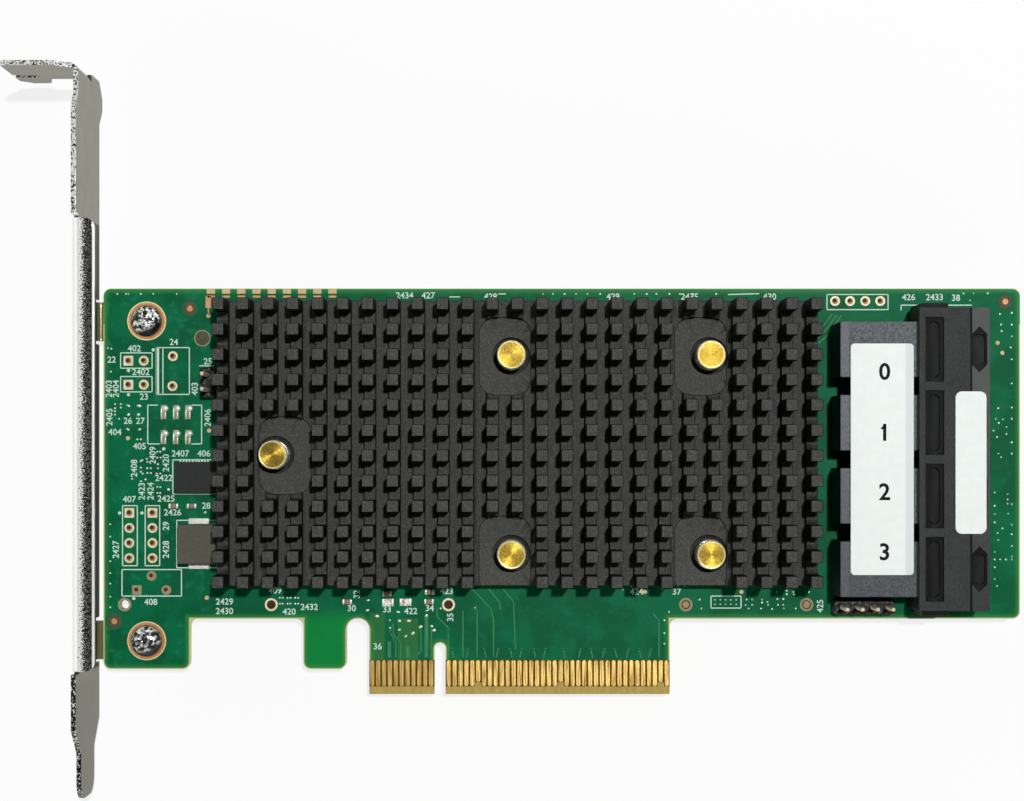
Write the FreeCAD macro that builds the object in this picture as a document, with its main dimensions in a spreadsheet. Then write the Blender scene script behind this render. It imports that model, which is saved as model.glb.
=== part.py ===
"""Host bus adapter: a plug-in storage card with its bracket, heat sink and four cable ports.

Frame, in millimetres: X runs along the card from the bracket to the ports, Y rises from the edge tongue,
Z points out of the component side. The origin is the middle of the tongue's key notch, on the tongue's
lower edge and half way through the board.
"""
import FreeCAD, Part
import os
import Sketcher
from math import cos, pi, sin, sqrt
from FreeCAD import Vector

doc = FreeCAD.newDocument("host_bus_adapter")
sheet = doc.addObject("Spreadsheet::Sheet", "sizes")

DRIVING_SIZES = (
    # circuit board
    ("board_length", 155.65, "board, bracket end to port end"),
    ("board_height", 68.9, "board, tongue edge to top edge"),
    ("board_thickness", 1.57, "board"),
    ("key_from_end", 57.15, "bracket end of the board to the key notch"),
    ("shoulder_height", 12.84, "board's lower edge above the tongue edge"),
    ("tab_clear", 4.28, "board tabs' lower edge above the tongue edge"),
    ("bracket_tab_width", 14.7, "board tab under the bracket screw"),
    ("small_tab_width", 7.3, "board tab beside the slot"),
    ("slot_width", 3.9, "slot between small tab and tongue"),
    ("board_corner", 1.3, "board's outer corner radius"),
    ("key_width", 1.9, "key notch"),
    ("key_depth", 8.7, "key notch"),
    ("tongue_bevel", 0.45, "bevel on the tongue's edge"),
    ("tooling_hole", 1.5, "tooling holes"),
    ("tooling_rise", 2.4, "tooling holes above the shoulder"),
    ("tooling_1", 3.6, "first tooling hole from the bracket end"),
    ("tooling_2", 28.5, "second tooling hole from the bracket end"),
    ("tooling_3", 58.6, "third tooling hole from the bracket end"),
    ("tooling_4", 98.9, "fourth tooling hole from the bracket end"),
    ("tooling_5", 119.4, "fifth tooling hole from the bracket end"),
    # edge contacts
    ("contact_pitch", 1.0, "edge contacts"),
    ("contact_width", 0.7, "edge contacts"),
    ("contact_length", 4.4, "edge contacts"),
    ("contact_inset", 1.4, "tongue edge to the contacts"),
    ("contact_plating", 0.04, "edge contacts above the board"),
    ("contact_key_gap", 3.0, "between the contacts beside the key"),
    # bracket
    ("sheet", 0.86, "bracket sheet thickness"),
    ("bracket_height", 121.0, "bracket, tip to flange top"),
    ("bracket_tip_drop", 16.25, "bracket tip below the tongue edge"),
    ("bracket_gap", 1.4, "bracket's inner face to the board's end"),
    ("face_rise", 14.9, "bracket's upper edge above the board"),
    ("face_width", 18.42, "bracket face"),
    ("neck_inset", 1.7, "neck's upper edge below the face's edge"),
    ("neck_bulge", 2.5, "neck's lower edge past the face's edge"),
    ("neck_height", 7.4, "bracket neck under the flange"),
    ("neck_taper", 2.5, "slope between neck and face"),
    ("neck_corner", 2.6, "neck's slanted corner beside the flange"),
    ("flange_depth", 12.5, "screw flange"),
    ("flange_width", 15.6, "screw flange over its finger"),
    ("flange_corner", 1.0, "screw flange's corner radius"),
    ("screw_recess_depth", 3.75, "recess for the chassis screw between finger and face"),
    ("finger_width", 5.2, "flange's finger beside the screw recess"),
    ("finger_corner", 2.0, "slanted corner of the finger"),
    ("end_slit_length", 4.3, "slit in the flange's free end"),
    ("end_slit_width", 2.2, "slit in the flange's free end"),
    ("end_slit_rise", 4.8, "slit above the finger's edge"),
    ("fold_relief", 0.5, "cuts at the ends of a fold"),
    ("lip_low", 5.4, "stiffening lip's lower end"),
    ("lip_length", 73.8, "stiffening lip"),
    ("lip_depth", 3.8, "stiffening lip, over the bend"),
    ("fold_radius", 0.8, "inner radius of the folds"),
    ("tip_width", 10.2, "bracket's foot"),
    ("tip_length", 7.8, "bracket's foot"),
    ("shoulder_taper", 4.2, "slope between face and foot"),
    ("vent_size", 3.7, "vent hexagons across flats"),
    ("vent_web", 0.75, "sheet left between vents"),
    ("foot_width", 6.6, "bracket tabs under the board"),
    ("foot_length", 11.6, "bracket tabs under the board"),
    ("boss_diameter", 4.6, "threaded collar of a tab"),
    ("boss_height", 1.3, "threaded collar of a tab"),
    # bracket screws
    ("screw_from_end", 7.35, "screws to the board's end"),
    ("screw_low", 9.1, "lower screw above the tongue edge"),
    ("screw_top_inset", 5.5, "upper screw below the board's upper edge"),
    ("screw_diameter", 2.8, "screw shank"),
    ("screw_head", 5.0, "screw head across"),
    ("screw_head_height", 1.9, "screw head"),
    ("screw_dome", 1.0, "domed part of the screw head"),
    ("recess_length", 2.7, "cross recess in a screw"),
    ("recess_width", 0.75, "cross recess in a screw"),
    ("recess_depth", 1.1, "cross recess in a screw"),
    ("screw_clearance", 0.1, "shank in the tab's collar, all round"),
    ("board_hole_clearance", 0.25, "shanks and pins in the board, all round"),
    # heat sink
    ("sink_from_end", 20.15, "board's bracket end to the heat sink"),
    ("sink_port_gap", 3.2, "heat sink to the contact modules"),
    ("sink_top_margin", 2.45, "heat sink below the board's top edge"),
    ("sink_low_margin", 5.91, "heat sink above the board's shoulder"),
    ("sink_standoff", 3.4, "heat sink's underside above the board"),
    ("sink_base", 1.7, "heat sink's floor"),
    ("rib_height", 1.2, "ribs that the cross cuts leave"),
    ("fin_height", 7.0, "pins above the floor"),
    ("fin_width", 2.0, "pins, square"),
    ("fin_pitch", 4.09, "pins along the card"),
    ("row_pitch", 4.15, "pins across the card"),
    ("flat_depth", 0.25, "milled flats below the floor"),
    ("flat_margin", 0.4, "milled flats past the pins that they replace"),
    ("flat_corner", 2.6, "milled flats' corner radius"),
    # brass pins and springs
    ("pin_square", 33.05, "square of the four pins about the controller"),
    ("pin_end_inset", 9.65, "single pin from the heat sink's end"),
    ("pin_head", 4.7, "brass head across"),
    ("pin_head_height", 1.7, "brass head"),
    ("pin_head_top", 4.6, "brass head's top above the flats"),
    ("pin_shank", 2.5, "brass shank"),
    ("pin_barb", 3.7, "barb under the board"),
    ("pin_barb_height", 2.2, "barb under the board"),
    ("spring_well", 6.1, "well round a pin"),
    ("spring_well_depth", 0.7, "well round a pin"),
    ("spring_wire", 0.45, "spring wire"),
    ("spring_outside", 5.0, "spring across"),
    # controller
    ("controller_from_sink_end", 34.55, "controller's middle to the heat sink's port end"),
    ("controller_low", 21.92, "controller's middle above the heat sink's lower edge"),
    ("controller_size", 27.0, "controller's substrate, square"),
    ("controller_lid", 22.5, "controller's lid, square"),
    ("substrate_thickness", 1.3, "controller's substrate"),
    ("lid_thickness", 0.8, "controller's lid"),
    ("pad_thickness", 0.5, "thermal pad"),
    # ports
    ("port_from_end", 7.4, "port mouths to the board's end"),
    ("port_pitch", 12.1, "ports"),
    ("lowest_port", 21.77, "lowest port's middle above the tongue edge"),
    ("housing_depth", 11.7, "port housing"),
    ("housing_height", 9.5, "port housing above the board"),
    ("housing_end_wall", 6.925, "end port's middle to the housing's end"),
    ("cavity_width", 10.4, "port mouth"),
    ("cavity_height", 6.9, "port mouth"),
    ("cavity_depth", 8.8, "port mouth"),
    ("cavity_floor", 1.3, "port mouth above the board"),
    ("module_depth", 13.0, "contact module behind the housing"),
    ("module_width", 9.2, "contact module"),
    ("nose_width", 8.4, "contact module's nose in the port"),
    ("nose_reach", 4.0, "nose past the cavity's back wall"),
    ("port_contact_pitch", 0.75, "contacts in a port"),
    ("port_contact_setback", 0.3, "contacts behind the nose's end"),
    ("groove_width", 0.3, "groove across the housing's roof"),
    ("groove_depth", 0.25, "groove across the housing's roof"),
    ("groove_from_mouth", 3.25, "groove across the housing's roof"),
    ("window_length", 10.6, "recess in the roof over a port"),
    ("window_width", 3.0, "recess in the roof over a port"),
    ("window_depth", 0.5, "recess in the roof over a port"),
    ("window_from_back", 2.6, "recess's middle from the housing's back"),
    ("slit_length", 9.4, "rounded slit in a recess"),
    ("slit_width", 1.9, "rounded slit in a recess"),
    ("slit_depth", 0.5, "rounded slit below the recess"),
    ("latch_length", 5.0, "latch pocket in the roof"),
    ("latch_width", 2.1, "latch pocket in the roof"),
    ("latch_depth", 0.9, "latch pocket in the roof"),
    ("latch_from_mouth", 1.75, "latch pocket's middle from the mouth"),
    ("latch_corner", 0.7, "latch pocket's corner radius"),
    ("lead_in_length", 7.6, "pointed lead-in round a latch pocket"),
    ("lead_in_width", 2.5, "pointed lead-in round a latch pocket"),
    ("lead_in_depth", 0.35, "pointed lead-in round a latch pocket"),
    ("ear_length", 4.4, "ears at the housing's ends"),
    ("ear_reach", 0.8, "ears at the housing's ends"),
    ("ear_drop", 0.7, "ears below the roof"),
    ("ear_from_back", 0.6, "ears from the housing's back"),
    ("nose_clearance", 0.3, "nose in the housing's back wall, all round"),
    ("nose_height", 5.2, "contact module's nose"),
    ("card_slot_height", 1.1, "slots in a nose"),
    ("card_slot_depth", 3.4, "slots in a nose"),
    ("card_slot_wall", 0.5, "nose's wall beside its slots"),
    ("card_slot_spacing", 2.4, "between a nose's two slots"),
    ("port_contact_width", 0.3, "contacts in a port"),
    ("port_contact_height", 0.25, "contacts in a port"),
    ("tail_length", 0.9, "contact tails below the board"),
    ("tail_width", 0.45, "contact tails"),
    ("tail_pitch", 1.6, "contact tails across a module"),
    ("tail_row_pitch", 3.2, "contact tails along a module"),
    # labels
    ("label_thickness", 0.12, "stickers"),
    ("port_label_length", 38.2, "sticker on the contact modules"),
    ("port_label_width", 10.4, "sticker on the contact modules"),
    ("port_label_from_back", 6.9, "sticker's middle from the modules' back"),
    ("plain_label_length", 23.5, "sticker on the housing"),
    ("plain_label_width", 5.1, "sticker on the housing"),
    ("plain_label_from_mouth", 3.15, "sticker's middle from the mouth"),
    ("plain_label_drop", 0.55, "sticker's middle below the middle of the ports"),
    # headers and small parts
    ("header_pitch", 2.54, "pin headers"),
    ("header_pin", 0.64, "pin headers, square pins"),
    ("header_base", 2.5, "pin headers, moulded base"),
    ("header_rise", 8.3, "pin headers, pins above the board"),
    ("service_header_from_back", 1.4, "first service pin past the contact modules' back"),
    ("service_header_rise", 2.2, "service pins above the board's shoulder"),
    ("jumper_header_gap", 0.9, "jumper header to the heat sink"),
    ("jumper_header_drop", 17.3, "lower jumper pin below the board's top edge"),
    ("coil_size", 6.5, "power inductor along the board"),
    ("coil_width", 6.6, "power inductor across the board"),
    ("coil_height", 3.9, "power inductor"),
    ("coil_from_end", 13.1, "power inductor from the board's bracket end"),
    ("coil_rise", 9.5, "power inductor above the board's shoulder"),
    ("coil_end_length", 1.0, "power inductor's tinned ends"),
    ("coil_end_width", 3.5, "power inductor's tinned ends"),
    ("coil_end_height", 1.2, "power inductor's tinned ends"),
    ("chip_length", 8.2, "power chip"),
    ("chip_width", 5.3, "power chip"),
    ("chip_height", 0.9, "power chip"),
    ("chip_from_end", 12.2, "power chip from the board's bracket end"),
    ("chip_gap", 5.2, "power chip above the inductor"),
    ("capacitor_1_along", 41.44, "first chip capacitor from the bracket end"),
    ("capacitor_1_rise", 2.93, "first chip capacitor above the shoulder"),
    ("capacitor_2_along", 55.4, "second chip capacitor from the bracket end"),
    ("capacitor_2_rise", 4.56, "second chip capacitor above the shoulder"),
    ("capacitor_3_along", 55.3, "third chip capacitor from the bracket end"),
    ("capacitor_3_rise", 2.95, "third chip capacitor above the shoulder"),
    ("capacitor_4_along", 11.98, "fourth chip capacitor from the bracket end"),
    ("capacitor_4_rise", 19.15, "fourth chip capacitor above the shoulder"),
    ("capacitor_5_along", 15.05, "fifth chip capacitor from the bracket end"),
    ("capacitor_5_rise", 19.15, "fifth chip capacitor above the shoulder"),
    ("capacitor_6_along", 48.17, "sixth chip capacitor from the bracket end"),
    ("capacitor_6_rise", 4.3, "sixth chip capacitor above the shoulder"),
    ("fuse_1_along", 48.32, "first chip fuse from the bracket end"),
    ("fuse_1_rise", 2.78, "first chip fuse above the shoulder"),
    ("fuse_2_along", 51.31, "second chip fuse from the bracket end"),
    ("fuse_2_rise", 2.84, "second chip fuse above the shoulder"),
    ("capacitor_length", 1.6, "chip capacitors"),
    ("capacitor_width", 0.85, "chip capacitors"),
    ("capacitor_height", 0.8, "chip capacitors"),
    ("fuse_length", 2.0, "chip fuses"),
    ("fuse_width", 1.25, "chip fuses"),
    ("fuse_height", 0.6, "chip fuses"),
    ("flash_length", 6.0, "flash memory"),
    ("flash_width", 5.0, "flash memory"),
    ("flash_height", 0.9, "flash memory"),
    ("crystal_length", 3.2, "clock crystal"),
    ("crystal_width", 2.5, "clock crystal"),
    ("crystal_height", 0.8, "clock crystal"),
    ("flash_from_end", 22.0, "flash memory's middle from the heat sink's end"),
    ("flash_from_top", 9.0, "flash memory's middle below the heat sink's upper edge"),
    ("crystal_from_end", 34.0, "clock crystal's middle from the heat sink's end"),
    ("crystal_from_low", 9.0, "clock crystal's middle above the heat sink's lower edge"),
)
for row, (alias, millimetres, note) in enumerate(DRIVING_SIZES, start=1):
    sheet.set(f"A{row}", note)
    sheet.set(f"B{row}", str(millimetres))
    sheet.setAlias(f"B{row}", alias)
doc.recompute()


def written(value):
    """A number or a size as text for a formula."""
    return value.formula if isinstance(value, Size) else repr(value)


class Size:
    """A length worked out from the sheet's cells: it adds up as a number does and binds as a formula."""

    def __init__(self, formula):
        self.formula = formula

    def __float__(self):
        return float(sheet.evalExpression(self.formula))

    def __add__(self, other):
        return Size(f"({self.formula} + {written(other)})")

    def __radd__(self, other):
        return Size(f"({written(other)} + {self.formula})")

    def __sub__(self, other):
        return Size(f"({self.formula} - {written(other)})")

    def __rsub__(self, other):
        return Size(f"({written(other)} - {self.formula})")

    def __mul__(self, factor):
        return Size(f"({self.formula} * {written(factor)})")

    def __truediv__(self, divisor):
        return Size(f"({self.formula} / {written(divisor)})")

    def __neg__(self):
        return Size(f"(-1 * {self.formula})")


class Sheet:
    """The sheet's cells by name."""

    def __getattr__(self, alias):
        return Size(f"sizes.{alias}")


size = Sheet()


def bind(target, **formulas):
    """Bind properties to sizes; a double underscore stands for a dot."""
    for name, value in formulas.items():
        target.setExpression(name.replace("__", "."), written(value))
    return target


def place(target, x, y, z):
    return bind(target, Placement__Base__x=x, Placement__Base__y=y, Placement__Base__z=z)


def box(x, y, z, length, width, height):
    """A block with its lowest corner at x, y, z."""
    block = doc.addObject("Part::Box", "block")
    bind(block, Length=length, Width=width, Height=height)
    return place(block, x, y, z)


def centred_box(x, y, z, length, width, height):
    """A block that stands on x, y, z with that point in the middle of its underside."""
    return box(x - length / 2, y - width / 2, z, length, width, height)


def cylinder(x, y, z, diameter, height):
    """An upright cylinder that stands on x, y, z."""
    rod = doc.addObject("Part::Cylinder", "rod")
    bind(rod, Radius=diameter / 2, Height=height)
    return place(rod, x, y, z)


def cone(x, y, z, low_diameter, high_diameter, height):
    """An upright cone that stands on x, y, z."""
    taper = doc.addObject("Part::Cone", "taper")
    bind(taper, Radius1=low_diameter / 2, Radius2=high_diameter / 2, Height=height)
    return place(taper, x, y, z)


def joined(pieces):
    """One solid made of several."""
    whole = doc.addObject("Part::MultiFuse", "whole")
    whole.Shapes = pieces
    return whole


def group(pieces):
    """Several separate solids in one object."""
    several = doc.addObject("Part::Compound", "several")
    several.Links = pieces
    return several


def cut(stock, tools):
    """The stock without the tools."""
    rest = doc.addObject("Part::Cut", "rest")
    rest.Base = stock
    rest.Tool = tools[0] if len(tools) == 1 else group(tools)
    return rest


def rounded(block, radius, chosen):
    """The block with a radius on the edges that are chosen by their two ends."""
    doc.recompute()
    smooth = doc.addObject("Part::Fillet", "smooth")
    smooth.Base = block
    across = float(radius)
    smooth.Edges = [(number, across, across) for number, edge in enumerate(block.Shape.Edges, start=1)
                    if chosen(*edge.BoundBox.Center, edge)]
    return smooth


def upright(x, y, z, edge):
    """True for an edge that runs along Z."""
    reach = edge.BoundBox
    return reach.ZLength > 1e-4 and reach.XLength < 1e-4 and reach.YLength < 1e-4


nodes = []


def node(piece, name):
    """Name a finished sub-part."""
    piece.Label = name
    nodes.append(piece)
    return piece


def profile(body, plane, level, corners):
    """A closed sketch of straight edges, with each corner held by its two distances from the origin."""
    sketch = body.newObject("Sketcher::SketchObject", "profile")
    role = plane + "_Plane"
    support = next(feature for feature in body.Origin.OriginFeatures if feature.Role == role)
    sketch.AttachmentSupport = [(support, "")]
    sketch.MapMode = "FlatFace"
    bind(sketch, AttachmentOffset__Base__z=level)
    points = [Vector(float(across), float(along), 0) for across, along in corners]
    following = [*range(1, len(points)), 0]
    sketch.addGeometry([Part.LineSegment(points[i], points[j]) for i, j in enumerate(following)])
    sketch.addConstraint([Sketcher.Constraint("Coincident", i, 2, j, 1) for i, j in enumerate(following)])
    for i, distances in enumerate(corners):
        for kind, distance in zip(("DistanceX", "DistanceY"), distances):
            held = sketch.addConstraint(Sketcher.Constraint(kind, -1, 1, i, 1, float(distance)))
            sketch.setExpression(f"Constraints[{held}]", written(distance))
    return sketch


def pad(body, sketch, length):
    """Thicken a sketch along its normal."""
    plate = body.newObject("PartDesign::Pad", "plate")
    plate.Profile = sketch
    bind(plate, Length=length)
    return plate


def dress(body, kind, base, amount, wanted):
    """A PartDesign Fillet or Chamfer of one amount on the wanted edges of the base feature."""
    doc.recompute()
    names = [f"Edge{number}" for number, edge in enumerate(base.Shape.Edges, start=1)
             if wanted(*edge.BoundBox.Center, edge)]
    feature = body.newObject(f"PartDesign::{kind}", kind.lower())
    feature.Base = (base, names)
    bind(feature, **{"Radius" if kind == "Fillet" else "Size": amount})
    return feature


def upright_at(corners):
    """Chooses the edges along Z that stand at the given corners."""
    spots = [(float(x), float(y)) for x, y in corners]

    def wanted(x, y, z, edge):
        near = any(abs(x - across) < 1e-3 and abs(y - along) < 1e-3 for across, along in spots)
        return near and upright(x, y, z, edge)

    return wanted


# Levels, ends and counts that the sub-parts share; cutting tools pass the stock by the overrun
overrun = 1.0
contacts_left = 11
contacts_right = 38
board_top = size.board_thickness / 2
board_under = -board_top
board_left = -size.key_from_end
board_right = size.board_length - size.key_from_end
screw_x = board_left + size.screw_from_end
screw_heights = (size.screw_low, size.board_height - size.screw_top_inset)

port_mouth = board_right - size.port_from_end
housing_back = port_mouth - size.housing_depth
module_back = housing_back - size.module_depth
port_floor = board_top + size.cavity_floor
port_roof = board_top + size.housing_height
ports_y = [size.lowest_port + size.port_pitch * step for step in (3, 2, 1, 0)]
ports_middle = size.lowest_port + size.port_pitch * 1.5

sink_left = board_left + size.sink_from_end
sink_right = module_back - size.sink_port_gap
sink_low = size.shoulder_height + size.sink_low_margin
sink_high = size.board_height - size.sink_top_margin
sink_under = board_top + size.sink_standoff
sink_floor = sink_under + size.sink_base
sink_flat = sink_floor - size.flat_depth
controller_x = sink_right - size.controller_from_sink_end
controller_y = sink_low + size.controller_low
half_square = size.pin_square / 2
pin_spots = [(controller_x + half_square * side, controller_y + half_square * rise)
             for side in (-1, 1) for rise in (-1, 1)]
pin_spots.append((sink_left + size.pin_end_inset, controller_y))


def make_board():
    """Laminate blank, cut to outline, bevelled at the tongue and drilled."""
    half_key = size.key_width / 2
    tongue_left = -size.contact_key_gap / 2 - size.contact_pitch * (contacts_left - 0.5)
    tongue_right = size.contact_key_gap / 2 + size.contact_pitch * (contacts_right - 0.5)
    slot_left = tongue_left - size.slot_width
    small_tab_left = slot_left - size.small_tab_width
    tab_right = board_left + size.bracket_tab_width
    outline = [
        (board_left, size.board_height), (board_right, size.board_height),
        (board_right, size.shoulder_height), (tongue_right, size.shoulder_height),
        (tongue_right, 0.0), (half_key, 0.0), (half_key, size.key_depth),
        (-half_key, size.key_depth), (-half_key, 0.0), (tongue_left, 0.0),
        (tongue_left, size.shoulder_height), (slot_left, size.shoulder_height),
        (slot_left, size.tab_clear), (small_tab_left, size.tab_clear),
        (small_tab_left, size.shoulder_height), (tab_right, size.shoulder_height),
        (tab_right, size.tab_clear), (board_left, size.tab_clear),
    ]
    body = doc.addObject("PartDesign::Body", "laminate")
    blank = pad(body, profile(body, "XY", board_under, outline), size.board_thickness)
    corners = [outline[i] for i in (0, 1, 2, 3, 12, 13, 14, 15, 16, 17)]
    shaped = dress(body, "Fillet", blank, size.board_corner, upright_at(corners))
    shaped = dress(body, "Fillet", shaped, size.slot_width * 0.48, upright_at(outline[10:12]))
    shaped = dress(body, "Fillet", shaped, size.key_width * 0.46, upright_at(outline[6:8]))

    def tongue_edge(x, y, z, edge):
        return abs(y) < 1e-3 and edge.BoundBox.XLength > 1 and abs(abs(z) - float(board_top)) < 1e-3

    dress(body, "Chamfer", shaped, size.tongue_bevel, tongue_edge)
    drill_low = board_under - overrun
    through = size.board_thickness + overrun * 2
    screw_hole = size.screw_diameter + size.board_hole_clearance * 2
    pin_hole = size.pin_shank + size.board_hole_clearance * 2
    drills = [cylinder(screw_x, height, drill_low, screw_hole, through) for height in screw_heights]
    drills += [cylinder(x, y, drill_low, pin_hole, through) for x, y in pin_spots]
    tooling_y = size.shoulder_height + size.tooling_rise
    drills += [cylinder(board_left + along, tooling_y, drill_low, size.tooling_hole, through)
               for along in (size.tooling_1, size.tooling_2, size.tooling_3, size.tooling_4, size.tooling_5)]
    node(cut(body, drills), "circuit_board")


def make_edge_contacts():
    """Gold fingers on both sides of the tongue, with the gap at the key."""
    half_gap = size.contact_key_gap / 2
    middles = [-half_gap - size.contact_pitch * step for step in range(contacts_left)]
    middles += [half_gap + size.contact_pitch * step for step in range(contacts_right)]
    for name, level in (("edge_contacts_front", board_top),
                        ("edge_contacts_back", board_under - size.contact_plating)):
        fingers = [box(middle - size.contact_width / 2, size.contact_inset, level,
                       size.contact_width, size.contact_length, size.contact_plating) for middle in middles]
        node(group(fingers), name)


def make_bracket():
    """One folded sheet: vented face, neck and foot, screw flange, stiffening lip and two tabs."""
    inner = board_left - size.bracket_gap
    outer = inner - size.sheet
    high = board_top + size.face_rise
    low = high - size.face_width
    foot_tip = -size.bracket_tip_drop
    crown = foot_tip + size.bracket_height
    neck_top = crown - size.neck_height
    neck_high = high - size.neck_inset
    neck_low = low - size.neck_bulge
    flange_low = high - size.flange_width
    recess_end = flange_low + size.screw_recess_depth
    fold_reach = size.fold_radius + size.sheet + size.fold_relief
    middle = (high + low) / 2
    tip_high = middle + size.tip_width / 2
    tip_low = middle - size.tip_width / 2
    shoulder = foot_tip + size.tip_length
    relief = size.fold_relief
    lip_high = size.lip_low + size.lip_length
    lip_notch = high - size.fold_radius - size.sheet * 2
    tab_top = board_under
    tab_low = tab_top - size.sheet
    tab_notch = tab_top + size.fold_radius
    half_foot = size.foot_width / 2

    def tab_gap(screw_y):
        """Reliefs on both sides of a tab, and the face cut away below its fold."""
        return [(screw_y - half_foot - relief, low), (screw_y - half_foot - relief, tab_notch),
                (screw_y - half_foot, tab_notch), (screw_y - half_foot, tab_low),
                (screw_y + half_foot, tab_low), (screw_y + half_foot, tab_notch),
                (screw_y + half_foot + relief, tab_notch), (screw_y + half_foot + relief, low)]

    face = [(crown, neck_high), (neck_top + size.neck_taper, neck_high), (neck_top, high),
            (lip_high + relief, high), (lip_high + relief, lip_notch), (lip_high, lip_notch),
            (lip_high, high), (size.lip_low, high), (size.lip_low, lip_notch),
            (size.lip_low - relief, lip_notch), (size.lip_low - relief, high),
            (shoulder + size.shoulder_taper, high), (shoulder, tip_high), (foot_tip, tip_high),
            (foot_tip, tip_low), (shoulder, tip_low), (shoulder + size.shoulder_taper, low)]
    face += tab_gap(screw_heights[0]) + tab_gap(screw_heights[1])
    face += [(neck_top, low), (neck_top + size.neck_taper, neck_low), (crown - size.neck_corner, neck_low),
             (crown, neck_low + size.neck_corner), (crown, recess_end - relief),
             (crown - fold_reach, recess_end - relief), (crown - fold_reach, recess_end),
             (crown, recess_end)]
    body = doc.addObject("PartDesign::Body", "folded_sheet")
    pad(body, profile(body, "YZ", outer, face), size.sheet)

    flange_end = inner - size.flange_depth
    flange_root = outer - size.fold_radius - size.fold_relief
    finger_side = flange_end + size.finger_width
    slit_end = flange_end + size.end_slit_length
    slit_low = flange_low + size.end_slit_rise
    slit_high = slit_low + size.end_slit_width
    flange = [(inner, neck_high), (flange_root, neck_high), (flange_root - size.neck_inset, high),
              (flange_end, high), (flange_end, slit_high), (slit_end, slit_high), (slit_end, slit_low),
              (flange_end, slit_low), (flange_end, flange_low + size.finger_corner),
              (flange_end + size.finger_corner, flange_low), (finger_side, flange_low),
              (finger_side, recess_end), (inner, recess_end)]
    pad(body, profile(body, "XZ", -crown, flange), size.sheet)
    lip = [(outer, size.lip_low), (outer + size.lip_depth, size.lip_low),
           (outer + size.lip_depth, lip_high), (outer, lip_high)]
    pad(body, profile(body, "XY", high - size.sheet, lip), size.sheet)
    for screw_y in screw_heights:
        tab = [(outer, screw_y - half_foot), (outer + size.foot_length, screw_y - half_foot),
               (outer + size.foot_length, screw_y + half_foot), (outer, screw_y + half_foot)]
        folded = pad(body, profile(body, "XY", tab_low, tab), size.sheet)

    near = 1e-3

    def along_fold(x, y, z, edge, fold_x, fold_z):
        reach = edge.BoundBox
        straight = reach.XLength < near and reach.ZLength < near and reach.YLength > 3
        return straight and abs(x - float(fold_x)) < near and abs(z - float(fold_z)) < near

    def inner_fold(x, y, z, edge):
        flange_fold = (abs(x - float(outer)) < near and abs(y - float(crown - size.sheet)) < near
                       and edge.BoundBox.ZLength > 3)
        return (flange_fold or along_fold(x, y, z, edge, inner, high - size.sheet)
                or along_fold(x, y, z, edge, inner, tab_top))

    def outer_fold(x, y, z, edge):
        lip_fold = (along_fold(x, y, z, edge, outer, high)
                    and edge.BoundBox.YLength > float(size.lip_length) * 0.9)
        flange_fold = (abs(x - float(inner)) < near and abs(y - float(crown)) < near
                       and edge.BoundBox.ZLength > 3 and z > float(recess_end))
        return lip_fold or flange_fold or along_fold(x, y, z, edge, outer, tab_low)

    folded = dress(body, "Fillet", folded, size.fold_radius, inner_fold)
    folded = dress(body, "Fillet", folded, size.fold_radius + size.sheet, outer_fold)

    def through_flange(corners):
        """Chooses the edges through the flange at the given corners."""
        spots = [(float(across), float(along)) for across, along in corners]

        def wanted(x, y, z, edge):
            upended = edge.BoundBox.YLength > near and edge.BoundBox.XLength < near and y > float(neck_top)
            return upended and any(abs(x - across) < near and abs(z - along) < near
                                   for across, along in spots)

        return wanted

    rounded_corners = [flange[3], flange[10], flange[11]]
    folded = dress(body, "Fillet", folded, size.flange_corner, through_flange(rounded_corners))
    folded = dress(body, "Fillet", folded, size.end_slit_width * 0.45, through_flange(flange[5:7]))

    def free_corner(x, y, z, edge):
        """Free corners of the lip, the tabs and the foot."""
        lip_end = abs(x - float(outer + size.lip_depth)) < near
        tab_end = abs(x - float(outer + size.foot_length)) < near
        return upright(x, y, z, edge) and (lip_end or tab_end)

    folded = dress(body, "Fillet", folded, size.fold_radius + size.sheet, free_corner)

    def tip_corner(x, y, z, edge):
        across_sheet = edge.BoundBox.XLength > near and edge.BoundBox.ZLength < near
        return abs(y - float(foot_tip)) < near and across_sheet

    dress(body, "Fillet", folded, size.tip_width * 0.3, tip_corner)

    bosses = []
    drills = []
    bore = size.screw_diameter + size.screw_clearance * 2
    for screw_y in screw_heights:
        bosses.append(cylinder(screw_x, screw_y, tab_low - size.boss_height, size.boss_diameter,
                               size.boss_height))
        drills.append(cylinder(screw_x, screw_y, tab_low - size.boss_height - overrun, bore,
                               size.boss_height + size.sheet + overrun * 2))
    row_step = (size.vent_size + size.vent_web) * sqrt(3) / 2
    column_step = size.vent_size + size.vent_web
    vent_start = size.lip_low + size.vent_size
    columns = int((float(size.lip_length) - 1.5 * float(size.vent_size)) / float(column_step))
    vent_middle = (high + board_top) / 2 - size.vent_web
    for row in (-1, 0, 1):
        for column in range(columns):
            vent = doc.addObject("Part::Prism", "vent")
            vent.Polygon = 6
            bind(vent, Circumradius=size.vent_size / sqrt(3), Height=size.sheet + overrun * 2)
            vent.Placement.Rotation = FreeCAD.Rotation(Vector(0, 1, 0), 90)
            place(vent, outer - overrun, vent_start + column_step * (column + 0.5 * (row % 2)),
                  vent_middle + row_step * row)
            drills.append(vent)
    node(cut(joined([body, *bosses]), drills), "mounting_bracket")


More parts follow.
